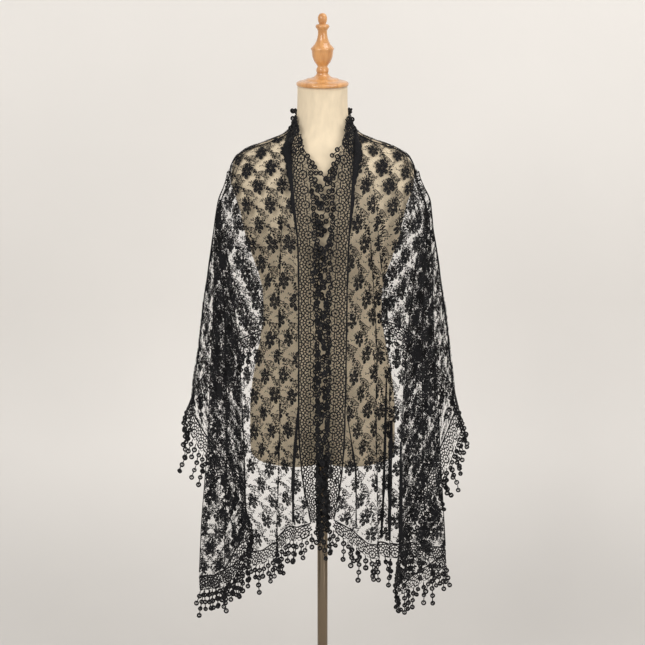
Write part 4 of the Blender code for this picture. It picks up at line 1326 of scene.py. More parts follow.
def chart_object(name, chart):
    """A chart as an object that a node tree repeats; it is removed afterwards."""
    corners, faces = chart
    mesh = mesh_from(name, [(x, y, 0.0) for x, y in corners], faces)
    made = bpy.data.objects.new(name, mesh)
    bpy.context.scene.collection.objects.link(made)
    return made


def ring_object(diameter):
    """One ring with the short link it hangs by, upright in the XZ plane."""
    minor = diameter * RING_THREAD
    major = diameter / 2 - minor
    points = []
    faces = []
    around = 10
    for i in range(around):
        a = 2 * math.pi * i / around
        for k in range(4):
            b = 2 * math.pi * k / 4 + math.pi / 4
            r = major + minor * math.cos(b)
            points.append((r * math.sin(a), minor * math.sin(b), r * math.cos(a)))
    for i in range(around):
        for k in range(4):
            a = i * 4 + k
            b = i * 4 + (k + 1) % 4
            c = ((i + 1) % around) * 4 + (k + 1) % 4
            d = ((i + 1) % around) * 4 + k
            faces.append((a, d, c, b))
    start = len(points)
    link = 0.0008
    low = diameter * -0.08
    high = diameter * 0.96
    for z in (low, high):
        points += [(-link, -link, z), (link, -link, z), (link, link, z), (-link, link, z)]
    for k in range(4):
        n = (k + 1) % 4
        faces.append((start + k, start + n, start + 4 + n, start + 4 + k))
    mesh = mesh_from("ring_shape", points, faces)
    made = bpy.data.objects.new("ring_shape", mesh)
    bpy.context.scene.collection.objects.link(made)
    return made


def points_object(name, points, turns, sizes):
    """Points that carry the turn and size of what stands on them."""
    mesh = bpy.data.meshes.new(name)
    mesh.from_pydata([tuple(map(float, p)) for p in points], [], [])
    turn = mesh.attributes.new("turn", "FLOAT_VECTOR", "POINT")
    turn.data.foreach_set("vector", np.asarray(turns, np.float32).ravel())
    size = mesh.attributes.new("size", "FLOAT", "POINT")
    size.data.foreach_set("value", np.asarray(sizes, np.float32).ravel())
    made = bpy.data.objects.new(name, mesh)
    bpy.context.scene.collection.objects.link(made)
    return made


# Node trees
def node(tree, kind, inputs=None, **settings):
    """A new node of a tree, with its settings and the values of its inputs."""
    made = tree.nodes.new(kind)
    for key, value in settings.items():
        setattr(made, key, value)
    for key, value in (inputs or {}).items():
        made.inputs[key].default_value = value
    return made


def repeat_nodes(tree, shape):
    """Nodes that stand a shape on every point and make it real."""
    start = node(tree, "NodeGroupInput")
    info = node(tree, "GeometryNodeObjectInfo", transform_space="ORIGINAL")
    turn = node(tree, "GeometryNodeInputNamedAttribute", {"Name": "turn"}, data_type="FLOAT_VECTOR")
    size = node(tree, "GeometryNodeInputNamedAttribute", {"Name": "size"}, data_type="FLOAT")
    stand = node(tree, "GeometryNodeInstanceOnPoints")
    real = node(tree, "GeometryNodeRealizeInstances")
    link = tree.links.new
    link(start.outputs["Geometry"], stand.inputs["Points"])
    link(start.outputs[shape], info.inputs["Object"])
    link(info.outputs["Geometry"], stand.inputs["Instance"])
    link(turn.outputs["Attribute"], stand.inputs["Rotation"])
    link(size.outputs["Attribute"], stand.inputs["Scale"])
    link(stand.outputs["Instances"], real.inputs["Geometry"])
    return start, real


def finish_tree(tree, last, start):
    """Gives the last node's geometry its material and sends it out."""
    dress = node(tree, "GeometryNodeSetMaterial")
    end = node(tree, "NodeGroupOutput")
    tree.links.new(last.outputs["Geometry"], dress.inputs["Geometry"])
    tree.links.new(start.outputs["Material"], dress.inputs["Material"])
    tree.links.new(dress.outputs["Geometry"], end.inputs["Geometry"])


def new_tree(name, sockets):
    """A geometry tree that takes and gives a geometry, with more inputs."""
    tree = bpy.data.node_groups.new(name, "GeometryNodeTree")
    tree.interface.new_socket("Geometry", in_out="INPUT", socket_type="NodeSocketGeometry")
    for label, kind in sockets:
        tree.interface.new_socket(label, in_out="INPUT", socket_type=kind)
    tree.interface.new_socket("Geometry", in_out="OUTPUT", socket_type="NodeSocketGeometry")
    return tree


def stand_tree():
    """Repeats a shape on points in space."""
    tree = bpy.data.node_groups.get("Stand on points")
    if tree:
        return tree
    tree = new_tree(
        "Stand on points", (("Shape", "NodeSocketObject"), ("Material", "NodeSocketMaterial"))
    )
    start, real = repeat_nodes(tree, "Shape")
    finish_tree(tree, real, start)
    return tree


def lay_tree():
    """Repeats a flat shape over the cloth's map and lays it on the cloth."""
    tree = bpy.data.node_groups.get("Lay on cloth")
    if tree:
        return tree
    tree = new_tree(
        "Lay on cloth",
        (
            ("Shape", "NodeSocketObject"),
            ("Cloth", "NodeSocketObject"),
            ("Lift", "NodeSocketFloat"),
            ("Material", "NodeSocketMaterial"),
        ),
    )
    link = tree.links.new
    start, real = repeat_nodes(tree, "Shape")
    cloth = node(tree, "GeometryNodeObjectInfo", transform_space="ORIGINAL")
    link(start.outputs["Cloth"], cloth.inputs["Object"])
    chart = node(tree, "GeometryNodeInputNamedAttribute", {"Name": "Cloth"}, data_type="FLOAT_VECTOR")
    place = node(tree, "GeometryNodeInputPosition")
    normal = node(tree, "GeometryNodeInputNormal")
    samples = []
    for value in (place.outputs["Position"], normal.outputs["Normal"]):
        sample = node(tree, "GeometryNodeSampleUVSurface", data_type="FLOAT_VECTOR")
        link(cloth.outputs["Geometry"], sample.inputs["Mesh"])
        link(value, sample.inputs["Value"])
        link(chart.outputs["Attribute"], sample.inputs["Source UV Map"])
        link(place.outputs["Position"], sample.inputs["Sample UV"])
        samples.append(sample)
    outside = node(tree, "FunctionNodeBooleanMath", operation="NOT")
    link(samples[0].outputs["Is Valid"], outside.inputs[0])
    cut = node(tree, "GeometryNodeDeleteGeometry", domain="POINT")
    link(real.outputs["Geometry"], cut.inputs["Geometry"])
    link(outside.outputs["Boolean"], cut.inputs["Selection"])
    lift = node(tree, "ShaderNodeVectorMath", operation="SCALE")
    link(samples[1].outputs["Value"], lift.inputs[0])
    link(start.outputs["Lift"], lift.inputs["Scale"])
    total = node(tree, "ShaderNodeVectorMath", operation="ADD")
    link(samples[0].outputs["Value"], total.inputs[0])
    link(lift.outputs["Vector"], total.inputs[1])
    lay = node(tree, "GeometryNodeSetPosition")
    link(cut.outputs["Geometry"], lay.inputs["Geometry"])
    link(total.outputs["Vector"], lay.inputs["Position"])
    finish_tree(tree, lay, start)
    return tree


def grown(points, tree, values):
    """The plain mesh that a tree makes of some points."""
    modifier = points.modifiers.new("grow", "NODES")
    modifier.node_group = tree
    for item in tree.interface.items_tree:
        if item.in_out == "INPUT" and item.name in values:
            modifier[item.identifier] = values[item.name]
    points.update_tag()
    bpy.context.view_layer.update()
    seen = points.evaluated_get(bpy.context.evaluated_depsgraph_get())
    mesh = bpy.data.meshes.new_from_object(seen)
    points.modifiers.remove(modifier)
    if not len(mesh.polygons):
        raise RuntimeError(points.name + ": the node tree made no faces")
    mesh.materials.clear()
    mesh.materials.append(values["Material"])
    mesh.polygons.foreach_set("material_index", np.zeros(len(mesh.polygons), np.int32))
    return mesh


def joined_mesh(name, meshes):
    """Several plain meshes of one material as one."""
    work = bmesh.new()
    for mesh in meshes:
        work.from_mesh(mesh)
    made = bpy.data.meshes.new(name)
    work.to_mesh(made)
    work.free()
    made.materials.clear()
    made.materials.append(meshes[0].materials[0])
    for mesh in meshes:
        bpy.data.meshes.remove(mesh)
    return made


# Materials
def shader_group(name, inputs, outputs):
    """A new group of shader nodes, with the nodes at its start and end."""
    tree = bpy.data.node_groups.new(name, "ShaderNodeTree")
    for way, sockets in (("INPUT", inputs), ("OUTPUT", outputs)):
        for label, kind in sockets:
            tree.interface.new_socket(label, in_out=way, socket_type="NodeSocket" + kind)
    return tree, node(tree, "NodeGroupInput"), node(tree, "NodeGroupOutput")


def net_group():
    """Where the threads of a slightly uneven net lie."""
    tree = bpy.data.node_groups.get("Net threads")
    if tree:
        return tree
    inputs = (("Vector", "Vector"), ("Pitch", "Float"), ("Thread", "Float"))
    tree, start, end = shader_group("Net threads", inputs, (("Mask", "Float"),))
    link = tree.links.new
    share = node(tree, "ShaderNodeMath", {0: 1.0}, operation="DIVIDE")
    link(start.outputs["Pitch"], share.inputs[1])
    values = {"Randomness": 0.45}
    cells = node(tree, "ShaderNodeTexVoronoi", values, voronoi_dimensions="2D", feature="DISTANCE_TO_EDGE")
    link(start.outputs["Vector"], cells.inputs["Vector"])
    link(share.outputs["Value"], cells.inputs["Scale"])
    low = node(tree, "ShaderNodeMath", {1: 0.6}, operation="MULTIPLY")
    link(start.outputs["Thread"], low.inputs[0])
    high = node(tree, "ShaderNodeMath", {1: 1.4}, operation="MULTIPLY")
    link(start.outputs["Thread"], high.inputs[0])
    values = {"To Min": 1.0, "To Max": 0.0}
    edge = node(tree, "ShaderNodeMapRange", values, interpolation_type="SMOOTHSTEP")
    link(cells.outputs["Distance"], edge.inputs["Value"])
    link(low.outputs["Value"], edge.inputs["From Min"])
    link(high.outputs["Value"], edge.inputs["From Max"])
    link(edge.outputs["Result"], end.inputs["Mask"])
    return tree


def weave_group():
    """Height of a plain weave from two crossed sets of threads."""
    tree = bpy.data.node_groups.get("Plain weave")
    if tree:
        return tree
    inputs = (("Vector", "Vector"), ("Threads", "Float"))
    outputs = (("Height", "Float"), ("Slub", "Float"))
    tree, start, end = shader_group("Plain weave", inputs, outputs)
    link = tree.links.new
    total = None
    for way in ("X", "Y"):
        values = {"Distortion": 1.4, "Detail": 1.0}
        wave = node(tree, "ShaderNodeTexWave", values, wave_type="BANDS", bands_direction=way)
        link(start.outputs["Vector"], wave.inputs["Vector"])
        link(start.outputs["Threads"], wave.inputs["Scale"])
        if total is None:
            total = wave.outputs["Fac"]
        else:
            add = node(tree, "ShaderNodeMath", operation="ADD")
            link(total, add.inputs[0])
            link(wave.outputs["Fac"], add.inputs[1])
            total = add.outputs["Value"]
    link(total, end.inputs["Height"])
    slub = node(tree, "ShaderNodeTexNoise", {"Scale": 34.0, "Detail": 4.0})
    link(start.outputs["Vector"], slub.inputs["Vector"])
    link(slub.outputs["Fac"], end.inputs["Slub"])
    return tree


def grain_group():
    """Long grain lines of a turned wooden part."""
    tree = bpy.data.node_groups.get("Wood grain")
    if tree:
        return tree
    tree, start, end = shader_group("Wood grain", (("Vector", "Vector"),), (("Grain", "Float"),))
    link = tree.links.new
    stretch = node(tree, "ShaderNodeMapping", {"Scale": (1.0, 0.6, 0.16)})
    link(start.outputs["Vector"], stretch.inputs["Vector"])
    noise = node(tree, "ShaderNodeTexNoise", {"Scale": 130.0, "Detail": 5.0, "Distortion": 0.8})
    link(stretch.outputs["Vector"], noise.inputs["Vector"])
    link(noise.outputs["Fac"], end.inputs["Grain"])
    return tree


def plain_material(name, colour, roughness, **sockets):
    """The material of this name, made from a colour and a roughness if it is new."""
    made = bpy.data.materials.get(name)
    if made:
        return made
    made = bpy.data.materials.new(name)
    made.use_nodes = True
    shader = made.node_tree.nodes["Principled BSDF"]
    shader.inputs["Base Color"].default_value = (*colour, 1.0)
    shader.inputs["Roughness"].default_value = roughness
    for label, value in sockets.items():
        shader.inputs[label.replace("_", " ")].default_value = value
    made.diffuse_color = (*colour, 1.0)
    return made


def motif_material():
    """The closely darned flowers and leaves, with pinholes between their stitches."""
    made = bpy.data.materials.get("lace_motif")
    if made:
        return made
    colour = bpy.context.scene.shawl.thread_colour
    made = plain_material("lace_motif", colour, 0.80, Specular_IOR_Level=0.12)
    tree = made.node_tree
    shader = tree.nodes["Principled BSDF"]
    place = node(tree, "ShaderNodeTexCoord")
    stitches = node(tree, "ShaderNodeTexNoise", {"Scale": STITCH_SCALE, "Detail": 1.0})
    closed = node(tree, "ShaderNodeMapRange", {"From Min": STITCH_CLOSED[0], "From Max": STITCH_CLOSED[1]})
    tree.links.new(place.outputs["Object"], stitches.inputs["Vector"])
    tree.links.new(stitches.outputs["Fac"], closed.inputs["Value"])
    tree.links.new(closed.outputs["Result"], shader.inputs["Alpha"])
    return made


def guipure_material():
    """The thicker thread of the trim and rings, a little darker than the lace."""
    colour = [c * 0.9 for c in bpy.context.scene.shawl.thread_colour]
    return plain_material("guipure_thread", colour, 0.66, Specular_IOR_Level=0.20)


def net_material():
    """The fine net ground, open between its threads."""
    made = bpy.data.materials.get("lace_net")
    if made:
        return made
    settings = bpy.context.scene.shawl
    made = plain_material("lace_net", settings.thread_colour, 0.80, Specular_IOR_Level=0.12)
    tree = made.node_tree
    shader = tree.nodes["Principled BSDF"]
    place = node(tree, "ShaderNodeUVMap", uv_map="Cloth")
    values = {"Pitch": settings.net_pitch, "Thread": settings.net_thread}
    net = node(tree, "ShaderNodeGroup", values, node_tree=net_group())
    tree.links.new(place.outputs["UV"], net.inputs["Vector"])
    tree.links.new(net.outputs["Mask"], shader.inputs["Alpha"])
    return made


def mixed_colour(tree, factor, dark, light, low=0.3, high=0.7):
    """A colour between a dark and a light one, by a factor."""
    ramp = node(tree, "ShaderNodeMapRange", {"From Min": low, "From Max": high})
    mix = node(tree, "ShaderNodeMix", {"A": (*dark, 1.0), "B": (*light, 1.0)}, data_type="RGBA")
    tree.links.new(factor, ramp.inputs["Value"])
    tree.links.new(ramp.outputs["Result"], mix.inputs["Factor"])
    return mix.outputs["Result"]


def linen_material():
    """Woven linen with thicker and thinner threads."""
    made = bpy.data.materials.get("linen_cover")
    if made:
        return made
    colour = tuple(bpy.context.scene.form.linen_colour)
    made = plain_material("linen_cover", colour, 0.86, Specular_IOR_Level=0.25)
    tree = made.node_tree
    shader = tree.nodes["Principled BSDF"]
    place = node(tree, "ShaderNodeUVMap", uv_map="Cloth")
    weave = node(tree, "ShaderNodeGroup", {"Threads": LINEN_THREADS}, node_tree=weave_group())
    tree.links.new(place.outputs["UV"], weave.inputs["Vector"])
    dark = [c * 0.93 for c in colour]
    light = [min(1.0, c * 1.05) for c in colour]
    tree.links.new(mixed_colour(tree, weave.outputs["Slub"], dark, light), shader.inputs["Base Color"])
    bump = node(tree, "ShaderNodeBump", {"Strength": 0.25, "Distance": 0.0003})
    tree.links.new(weave.outputs["Height"], bump.inputs["Height"])
    tree.links.new(bump.outputs["Normal"], shader.inputs["Normal"])
    return made


def wood_material():
    """Varnished wood with its grain."""
    made = bpy.data.materials.get("varnished_wood")
    if made:
        return made
    colour = tuple(bpy.context.scene.form.wood_colour)
    made = plain_material("varnished_wood", colour, 0.38, Coat_Weight=0.8, Coat_Roughness=0.08)
    tree = made.node_tree
    shader = tree.nodes["Principled BSDF"]
    place = node(tree, "ShaderNodeTexCoord")
    grain = node(tree, "ShaderNodeGroup", node_tree=grain_group())
    tree.links.new(place.outputs["Object"], grain.inputs["Vector"])
    dark = tuple(c * share for c, share in zip(colour, WOOD_DARK))
    light = tuple(c * share for c, share in zip(colour, WOOD_LIGHT))
    tree.links.new(mixed_colour(tree, grain.outputs["Grain"], dark, light), shader.inputs["Base Color"])
    return made


def metal_material():
    """Satin metal of the stand."""
    colour = bpy.context.scene.form.metal_colour
    return plain_material("stand_metal", colour, 0.34, Metallic=1.0)


def wall_material():
    """The pale backdrop, with painted shade that darkens it below, that a camera behind it doesn't see."""
    made = bpy.data.materials.get("backdrop")
    if made:
        return made
    colour = tuple(bpy.context.scene.form.wall_colour)
    made = plain_material("backdrop", colour, 0.92, Specular_IOR_Level=0.1)
    tree = made.node_tree
    shader = tree.nodes["Principled BSDF"]
    place = node(tree, "ShaderNodeTexCoord")
    cloud = node(tree, "ShaderNodeTexNoise", {"Scale": 1.6, "Detail": 3.0})
    tree.links.new(place.outputs["Object"], cloud.inputs["Vector"])
    dark = [c * 0.975 for c in colour]
    light = [min(1.0, c * 1.02) for c in colour]
    wash = mixed_colour(tree, cloud.outputs["Fac"], dark, light)
    # Painted shade: the backdrop's mottled colour is darkened below a height, darkest at the floor
    parted = node(tree, "ShaderNodeSeparateXYZ")
    values = {"From Min": BACKDROP_PAINTED_SHADE[0], "From Max": BACKDROP_PAINTED_SHADE[1], "To Min": BACKDROP_PAINTED_SHADE[2]}
    fade = node(tree, "ShaderNodeMapRange", values, interpolation_type="SMOOTHSTEP")
    wash_with_painted_shade = node(tree, "ShaderNodeVectorMath", operation="SCALE")
    tree.links.new(place.outputs["Object"], parted.inputs["Vector"])
    tree.links.new(parted.outputs["Z"], fade.inputs["Value"])
    tree.links.new(wash, wash_with_painted_shade.inputs[0])
    tree.links.new(fade.outputs["Result"], wash_with_painted_shade.inputs["Scale"])
    tree.links.new(wash_with_painted_shade.outputs["Vector"], shader.inputs["Base Color"])
    side = node(tree, "ShaderNodeNewGeometry")
    ray = node(tree, "ShaderNodeLightPath")
    behind = node(tree, "ShaderNodeMath", operation="MULTIPLY")
    shown = node(tree, "ShaderNodeMath", {0: 1.0}, operation="SUBTRACT")
    tree.links.new(side.outputs["Backfacing"], behind.inputs[0])
    tree.links.new(ray.outputs["Is Camera Ray"], behind.inputs[1])
    tree.links.new(behind.outputs["Value"], shown.inputs[1])
    tree.links.new(shown.outputs["Value"], shader.inputs["Alpha"])
    return made


# The form and its stand
def torso_mesh(material):
    """The padded torso as a smooth loft of its level sections, with a linen map."""
    heights = [along_height(k / TORSO_ROWS) for k in range(TORSO_ROWS + 1)]
    swell, half, top_z, fade = TORSO_LOBE
    sides = 72
    points = []
    uvs = []
    for z in heights:
        wide, middle, deep, power = form_section(z)
        for k in range(sides + 1):
            a = 2 * math.pi * k / sides
            c = math.cos(a)
            s = math.sin(a)
            x = wide * math.copysign(abs(c) ** (2 / power), c)
            y = middle + deep * math.copysign(abs(s) ** (2 / power), s)
            lobe = swell * math.exp(-((x / half) ** 2)) * min(1.0, max(0.0, (top_z - z) / fade))
            points.append((x, y, z + lobe))
            uvs.append((a * LINEN_RADIUS, z))
    rows = len(heights)
    faces = grid_faces(rows, sides + 1)
    top = len(points)
    points.append((0.0, 0.0, NECK_TOP_Z))
    uvs.append((0.0, NECK_TOP_Z))
    low = len(points)
    points.append((0.0, 0.004, FORM_BOTTOM_Z + 0.0085))
    uvs.append((0.0, FORM_BOTTOM_Z))
    for k in range(sides):
        faces.append((k, k + 1, top))
        faces.append(((rows - 1) * (sides + 1) + k + 1, (rows - 1) * (sides + 1) + k, low))
    return mesh_from("form_body", points, faces, uvs, material)


def along_height(share):
    """Heights from the neck down, closer together at the rounded lower edge."""
    if share < 0.9:
        return NECK_TOP_Z - (NECK_TOP_Z - TORSO_BEND_Z) * share / 0.9
    t = (share - 0.9) / 0.1
    return TORSO_BEND_Z - (TORSO_BEND_Z - FORM_BOTTOM_Z) * math.sin(t * math.pi / 2)


def turned_mesh(name, profile, sides, material, cuts=4):
    """A part turned on a lathe from its profile, top to bottom."""
    line = through(np.array([(r, 0.0, z) for r, z in profile]), [cuts] * (len(profile) - 1))
    line[:, 0] = np.maximum(0.0, line[:, 0])
    points = []
    for r, _, z in line:
        for k in range(sides):
            a = 2 * math.pi * k / sides
            points.append((r * math.cos(a), r * math.sin(a), z))
    mesh = mesh_from(name, points, grid_faces(len(line), sides, closed=True), None, material)
    work = bmesh.new()
    work.from_mesh(mesh)
    bmesh.ops.remove_doubles(work, verts=work.verts, dist=1e-5)
    bmesh.ops.dissolve_degenerate(work, edges=work.edges, dist=1e-6)
    bmesh.ops.recalc_face_normals(work, faces=work.faces)
    work.to_mesh(mesh)
    work.free()
    return mesh


class SHAWL_OT_form(bpy.types.Operator):
    """Builds the linen torso of the dress form"""

    bl_idname = "shawl.form"
    bl_label = "Form"

    def execute(self, context):
        mesh = torso_mesh(linen_material())
        face_outwards(mesh)
        finished("form_body", mesh, ["form_torso"])
        return {"FINISHED"}


class SHAWL_OT_cap(bpy.types.Operator):
    """Builds the turned wooden cap and finial on the neck"""

    bl_idname = "shawl.cap"
    bl_label = "Neck cap"

    def execute(self, context):
        mesh = turned_mesh("neck_cap", CAP_FINE_PROFILE, 64, wood_material(), 2)
        finished("neck_cap", mesh, ["form_neck_cap"])
        return {"FINISHED"}


class SHAWL_OT_stand(bpy.types.Operator):
    """Builds the pole and the round base"""

    bl_idname = "shawl.stand"
    bl_label = "Stand"

    def execute(self, context):
        metal = metal_material()
        pole = (
            (0.0, FORM_BOTTOM_Z + 0.004),
            (POLE_RADIUS, FORM_BOTTOM_Z + 0.004),
            (POLE_RADIUS, BOSS_TOP_Z),
            (0.0, BOSS_TOP_Z),
        )
        mesh = turned_mesh("pole", pole, 40, metal, 1)
        finished("pole", mesh, ["stand_pole"])
        base = (
            (0.0, BOSS_TOP_Z),
            (POLE_RADIUS + 0.004, BOSS_TOP_Z),
            (BOSS_RADIUS - 0.003, BOSS_TOP_Z - 0.0006),
            (BOSS_RADIUS, BOSS_TOP_Z - 0.003),
            (BOSS_RADIUS, BASE_THICKNESS + 0.006),
            (BOSS_RADIUS + 0.003, BASE_THICKNESS + 0.001),
            (BOSS_RADIUS + 0.009, BASE_THICKNESS),
            (BASE_RADIUS - 0.006, BASE_THICKNESS),
            (BASE_RADIUS - 0.0012, BASE_THICKNESS - 0.0016),
            (BASE_RADIUS, BASE_THICKNESS - 0.005),
            (BASE_RADIUS, 0.0015),
            (BASE_RADIUS - 0.0015, 0.0),
            (0.0, 0.0),
        )
        mesh = turned_mesh("base", base, 96, metal, 1)
        finished("base", mesh, ["stand_base"])
        return {"FINISHED"}


class SHAWL_OT_panels(bpy.types.Operator):
    """Builds the net ground of the two fronts and the back"""

    bl_idname = "shawl.panels"
    bl_label = "Panels"

    def execute(self, context):
        material = net_material()
        for name, (label, cad, _, _) in PANELS.items():
            fine, _, chart = panel_parts(name)
            rows, wide = fine.shape[:2]
            flip = name != "left"
            faces = grid_faces(rows, wide, flip)
            mesh = mesh_from(label, fine.reshape(-1, 3), faces, chart.reshape(-1, 2), material)
            finished(label, mesh, [cad])
        return {"FINISHED"}


def roll_mesh(name, rolls, material):
    """Flattened rolls of doubled cloth along lines, each with its widths."""
    points = []
    faces = []
    for line, across, widths in rolls:
        way = np.gradient(line, axis=0)
        across = across - way * (np.sum(across * way, axis=1) / np.sum(way * way, axis=1))[:, None]
        across /= np.maximum(1e-9, np.linalg.norm(across, axis=1))[:, None]
        normal = np.cross(across, way)
        normal /= np.maximum(1e-9, np.linalg.norm(normal, axis=1))[:, None]
        start = len(points)
        for p, a, n, w in zip(line, across, normal, widths):
            thick = ROLL_LEAST + w * ROLL_SHARE
            for k in range(ROLL_SIDES):
                turn = 2 * math.pi * k / ROLL_SIDES
                points.append(p + a * math.cos(turn) * w / 2 + n * math.sin(turn) * thick)
        cells = grid_faces(len(line), ROLL_SIDES, closed=True)
        faces += [tuple(start + k for k in face) for face in cells]
    mesh = mesh_from(name, points, faces, None, material)
    face_outwards(mesh)
    return mesh


def drifting_fold(fine, places, widths):
    """A fold that leaves the straight grain: its line, its way across and its widths."""
    line = []
    across = []
    for row in fine[2:-2]:
        away = np.abs(row[:, 0])
        target = along(places, float(row[0, 2]))
        j = int(np.argmax(away >= target))
        if row[0, 2] > places[0][0] or j < 1:
            continue
        share = (target - away[j - 1]) / max(1e-6, away[j] - away[j - 1])
        line.append(row[j - 1] + (row[j] - row[j - 1]) * share)
        across.append(row[j] - row[j - 1])
    line = np.array(line)
    line[:, 1] -= 0.0010
    sizes = np.array([along(widths, z) for z in line[:, 2]])
    return line, np.array(across), sizes * (1 + 0.12 * np.sin(line[:, 2] * 83))


def panel_rolls(name):
    """Lines on a front where the cloth is doubled: its seam, folds and shoulder."""
    fine, places, _ = panel_parts(name)
    rolls = []
    lines = [(0.12, SEAM_WIDTHS)] + [(place, FOLD_WIDTHS) for place in FOLD_LINES[name]]
    for place, table in lines:
        j = int(np.clip(np.argmin(np.abs(places - place)), 1, len(places) - 2))
        line = fine[2:-2, j]
        across = fine[2:-2, j + 1] - fine[2:-2, j - 1]
        widths = np.array([along(table, z) for z in line[:, 2]])
        rough = 0.16 * np.sin(line[:, 2] * 57) + 0.10 * np.sin(line[:, 2] * 131)
        widths *= 1 + rough + 0.12 * np.sin(line[:, 2] * 467 + place) * (widths > 0.004)
        if table is SEAM_WIDTHS:
            inwards = across / np.linalg.norm(across, axis=1)[:, None]
            line = fine[2:-2, 0] + inwards * (widths / 2 - 0.0014)[:, None]
        rolls.append((line, across, widths))
    for course, sizes in DRIFTS[name]:
        rolls.append(drifting_fold(fine, course, sizes))
    drops = np.linalg.norm(np.diff(fine, axis=0), axis=-1)
    gone = np.concatenate([np.zeros((1, fine.shape[1])), np.cumsum(drops, axis=0)], axis=0)
    for depth, wide in ((0.0015, 0.0024), (0.0150, 0.0036)):
        line = []
        across = []
        for j in range(0, len(places) - 1, 2):
            reach = depth * (1 + 0.35 * math.sin(places[j] * 0.5))
            p = [np.interp(reach, gone[:, j], fine[:, j, c]) for c in range(3)]
            q = [np.interp(reach + 0.002, gone[:, j], fine[:, j, c]) for c in range(3)]
            line.append(p)
            across.append(np.subtract(q, p))
        line = np.array(line)
        line[:, 1] -= 0.0006
        rolls.append((line, np.array(across), np.full(len(line), wide)))
    return rolls


class SHAWL_OT_folds(bpy.types.Operator):
    """Builds the doubled cloth at the seams, folds and shoulders of the fronts"""

    bl_idname = "shawl.folds"
    bl_label = "Seams and folds"

    def execute(self, context):
        for name in ("left", "right"):
            label = "folds_front_" + name
            finished(label, roll_mesh(label, panel_rolls(name), motif_material()))
        return {"FINISHED"}


class SHAWL_OT_pattern(bpy.types.Operator):
    """Lays the flowers, leaves and vines on the panels"""

    bl_idname = "shawl.pattern"
    bl_label = "Lace pattern"

    def execute(self, context):
        settings = context.scene.shawl
        charts = (
            (chart_object("flower_shape", flower_chart()), FLOWER_PLACES, 0.00030),
            (chart_object("leaf_shape", leaf_chart()), LEAF_PLACES, 0.00022),
            (chart_object("sprig_shape", sprig_chart()), SPRIG_PLACES, 0.00026),
            (chart_object("vine_shape", vine_chart()), VINE_PLACES, 0.00018),
        )
        across = settings.repeat_across
        down = settings.repeat_along
        for number, (name, (label, _, _, _)) in enumerate(PANELS.items()):
            chance = np.random.default_rng(settings.seed + number)
            chart = panel_parts(name)[2]
            low = chart.reshape(-1, 2).min(axis=0)
            high = chart.reshape(-1, 2).max(axis=0)
            meshes = []
            way = -1 if name == "left" else 1
            for shape, places, lift in charts:
                points = []
                turns = []
                sizes = []
                for row in range(int(low[1] / down) - 1, int(high[1] / down) + 2):
                    shift = (way * row * REPEAT_LEAN) % across
                    for column in range(int(low[0] / across) - 2, int(high[0] / across) + 2):
                        for u, v, turn, size in places:
                            jog = chance.normal(0.0, PATTERN_SHIFT, 2)
                            x = column * across + shift + way * u + jog[0]
                            points.append((x, row * down + v + jog[1], 0.0))
                            turned = turn if way > 0 else math.pi * (shape.name != "flower_shape") - turn
                            turns.append((0.0, 0.0, turned + chance.normal(0.0, PATTERN_TURN)))
                            sizes.append(size * (1 + chance.normal(0.0, PATTERN_SIZE)))
                dots = points_object("pattern_points", points, turns, sizes)
                values = {"Shape": shape, "Cloth": bpy.data.objects[label], "Lift": lift}
                values["Material"] = motif_material()
                meshes.append(grown(dots, lay_tree(), values))
                bpy.data.objects.remove(dots)
            finished(label + "_flowers", joined_mesh(label + "_flowers", meshes))
        for shape, _, _ in charts:
            bpy.data.objects.remove(shape)
        return {"FINISHED"}


class SHAWL_OT_trim(bpy.types.Operator):
    """Lays the scallops of the guipure trim along every edge"""

    bl_idname = "shawl.trim"
    bl_label = "Guipure trim"

    def execute(self, context):
        repeat = context.scene.shawl.trim_repeat
        shape = chart_object("scallop_shape", scallop_chart())
        for name in TRIMS:
            strip, at = trim_strip(name)
            rows, wide = strip.shape[:2]
            across = np.linspace(0.0, TRIM_WIDTH, wide)
            chart = np.stack(np.broadcast_arrays(at[:, None], across[None, :]), axis=-1)
            mesh = mesh_from("strip", strip.reshape(-1, 3), grid_faces(rows, wide), chart.reshape(-1, 2))
            for face in mesh.polygons:
                face.use_smooth = True
            carrier = bpy.data.objects.new("strip", mesh)
            context.scene.collection.objects.link(carrier)
            count = max(1, int(round(at[-1] / repeat)))
            step = at[-1] / count
            points = [((k + 0.5) * step, 0.0, 0.0) for k in range(count)]
            scale = np.array([step / repeat] * count)
            dots = points_object("trim_points", points, [(0.0, 0.0, 0.0)] * count, scale)
            values = {"Shape": shape, "Cloth": carrier, "Lift": 0.0, "Material": guipure_material()}
            label = "guipure_" + name[5:]
            mesh = thickened(grown(dots, lay_tree(), values), TRIM_THREAD)
            way = strip[:, 1] - strip[:, 0]
            seam = strip[:, 0] + way / np.linalg.norm(way, axis=1)[:, None] * TRIM_SEAM_INSET
            widths = TRIM_SEAM_WIDTH * (1 + 0.15 * np.sin(at / 0.0093))
            roll = roll_mesh("seam", [(seam, way, widths)], guipure_material())
            finished(label, joined_mesh(label, [mesh, roll]), [name])
            bpy.data.objects.remove(dots)
            bpy.data.objects.remove(carrier)
        bpy.data.objects.remove(shape)
        return {"FINISHED"}


def thickened(mesh, wall):
    """A flat mesh with the thickness of its threads."""
    piece = bpy.data.objects.new("flat", mesh)
    bpy.context.scene.collection.objects.link(piece)
    made = piece.modifiers.new("wall", "SOLIDIFY")
    made.thickness = wall
    made.offset = 0.0
    bpy.context.view_layer.update()
    seen = piece.evaluated_get(bpy.context.evaluated_depsgraph_get())
    thick = bpy.data.meshes.new_from_object(seen)
    bpy.data.objects.remove(piece)
    bpy.data.meshes.remove(mesh)
    return thick


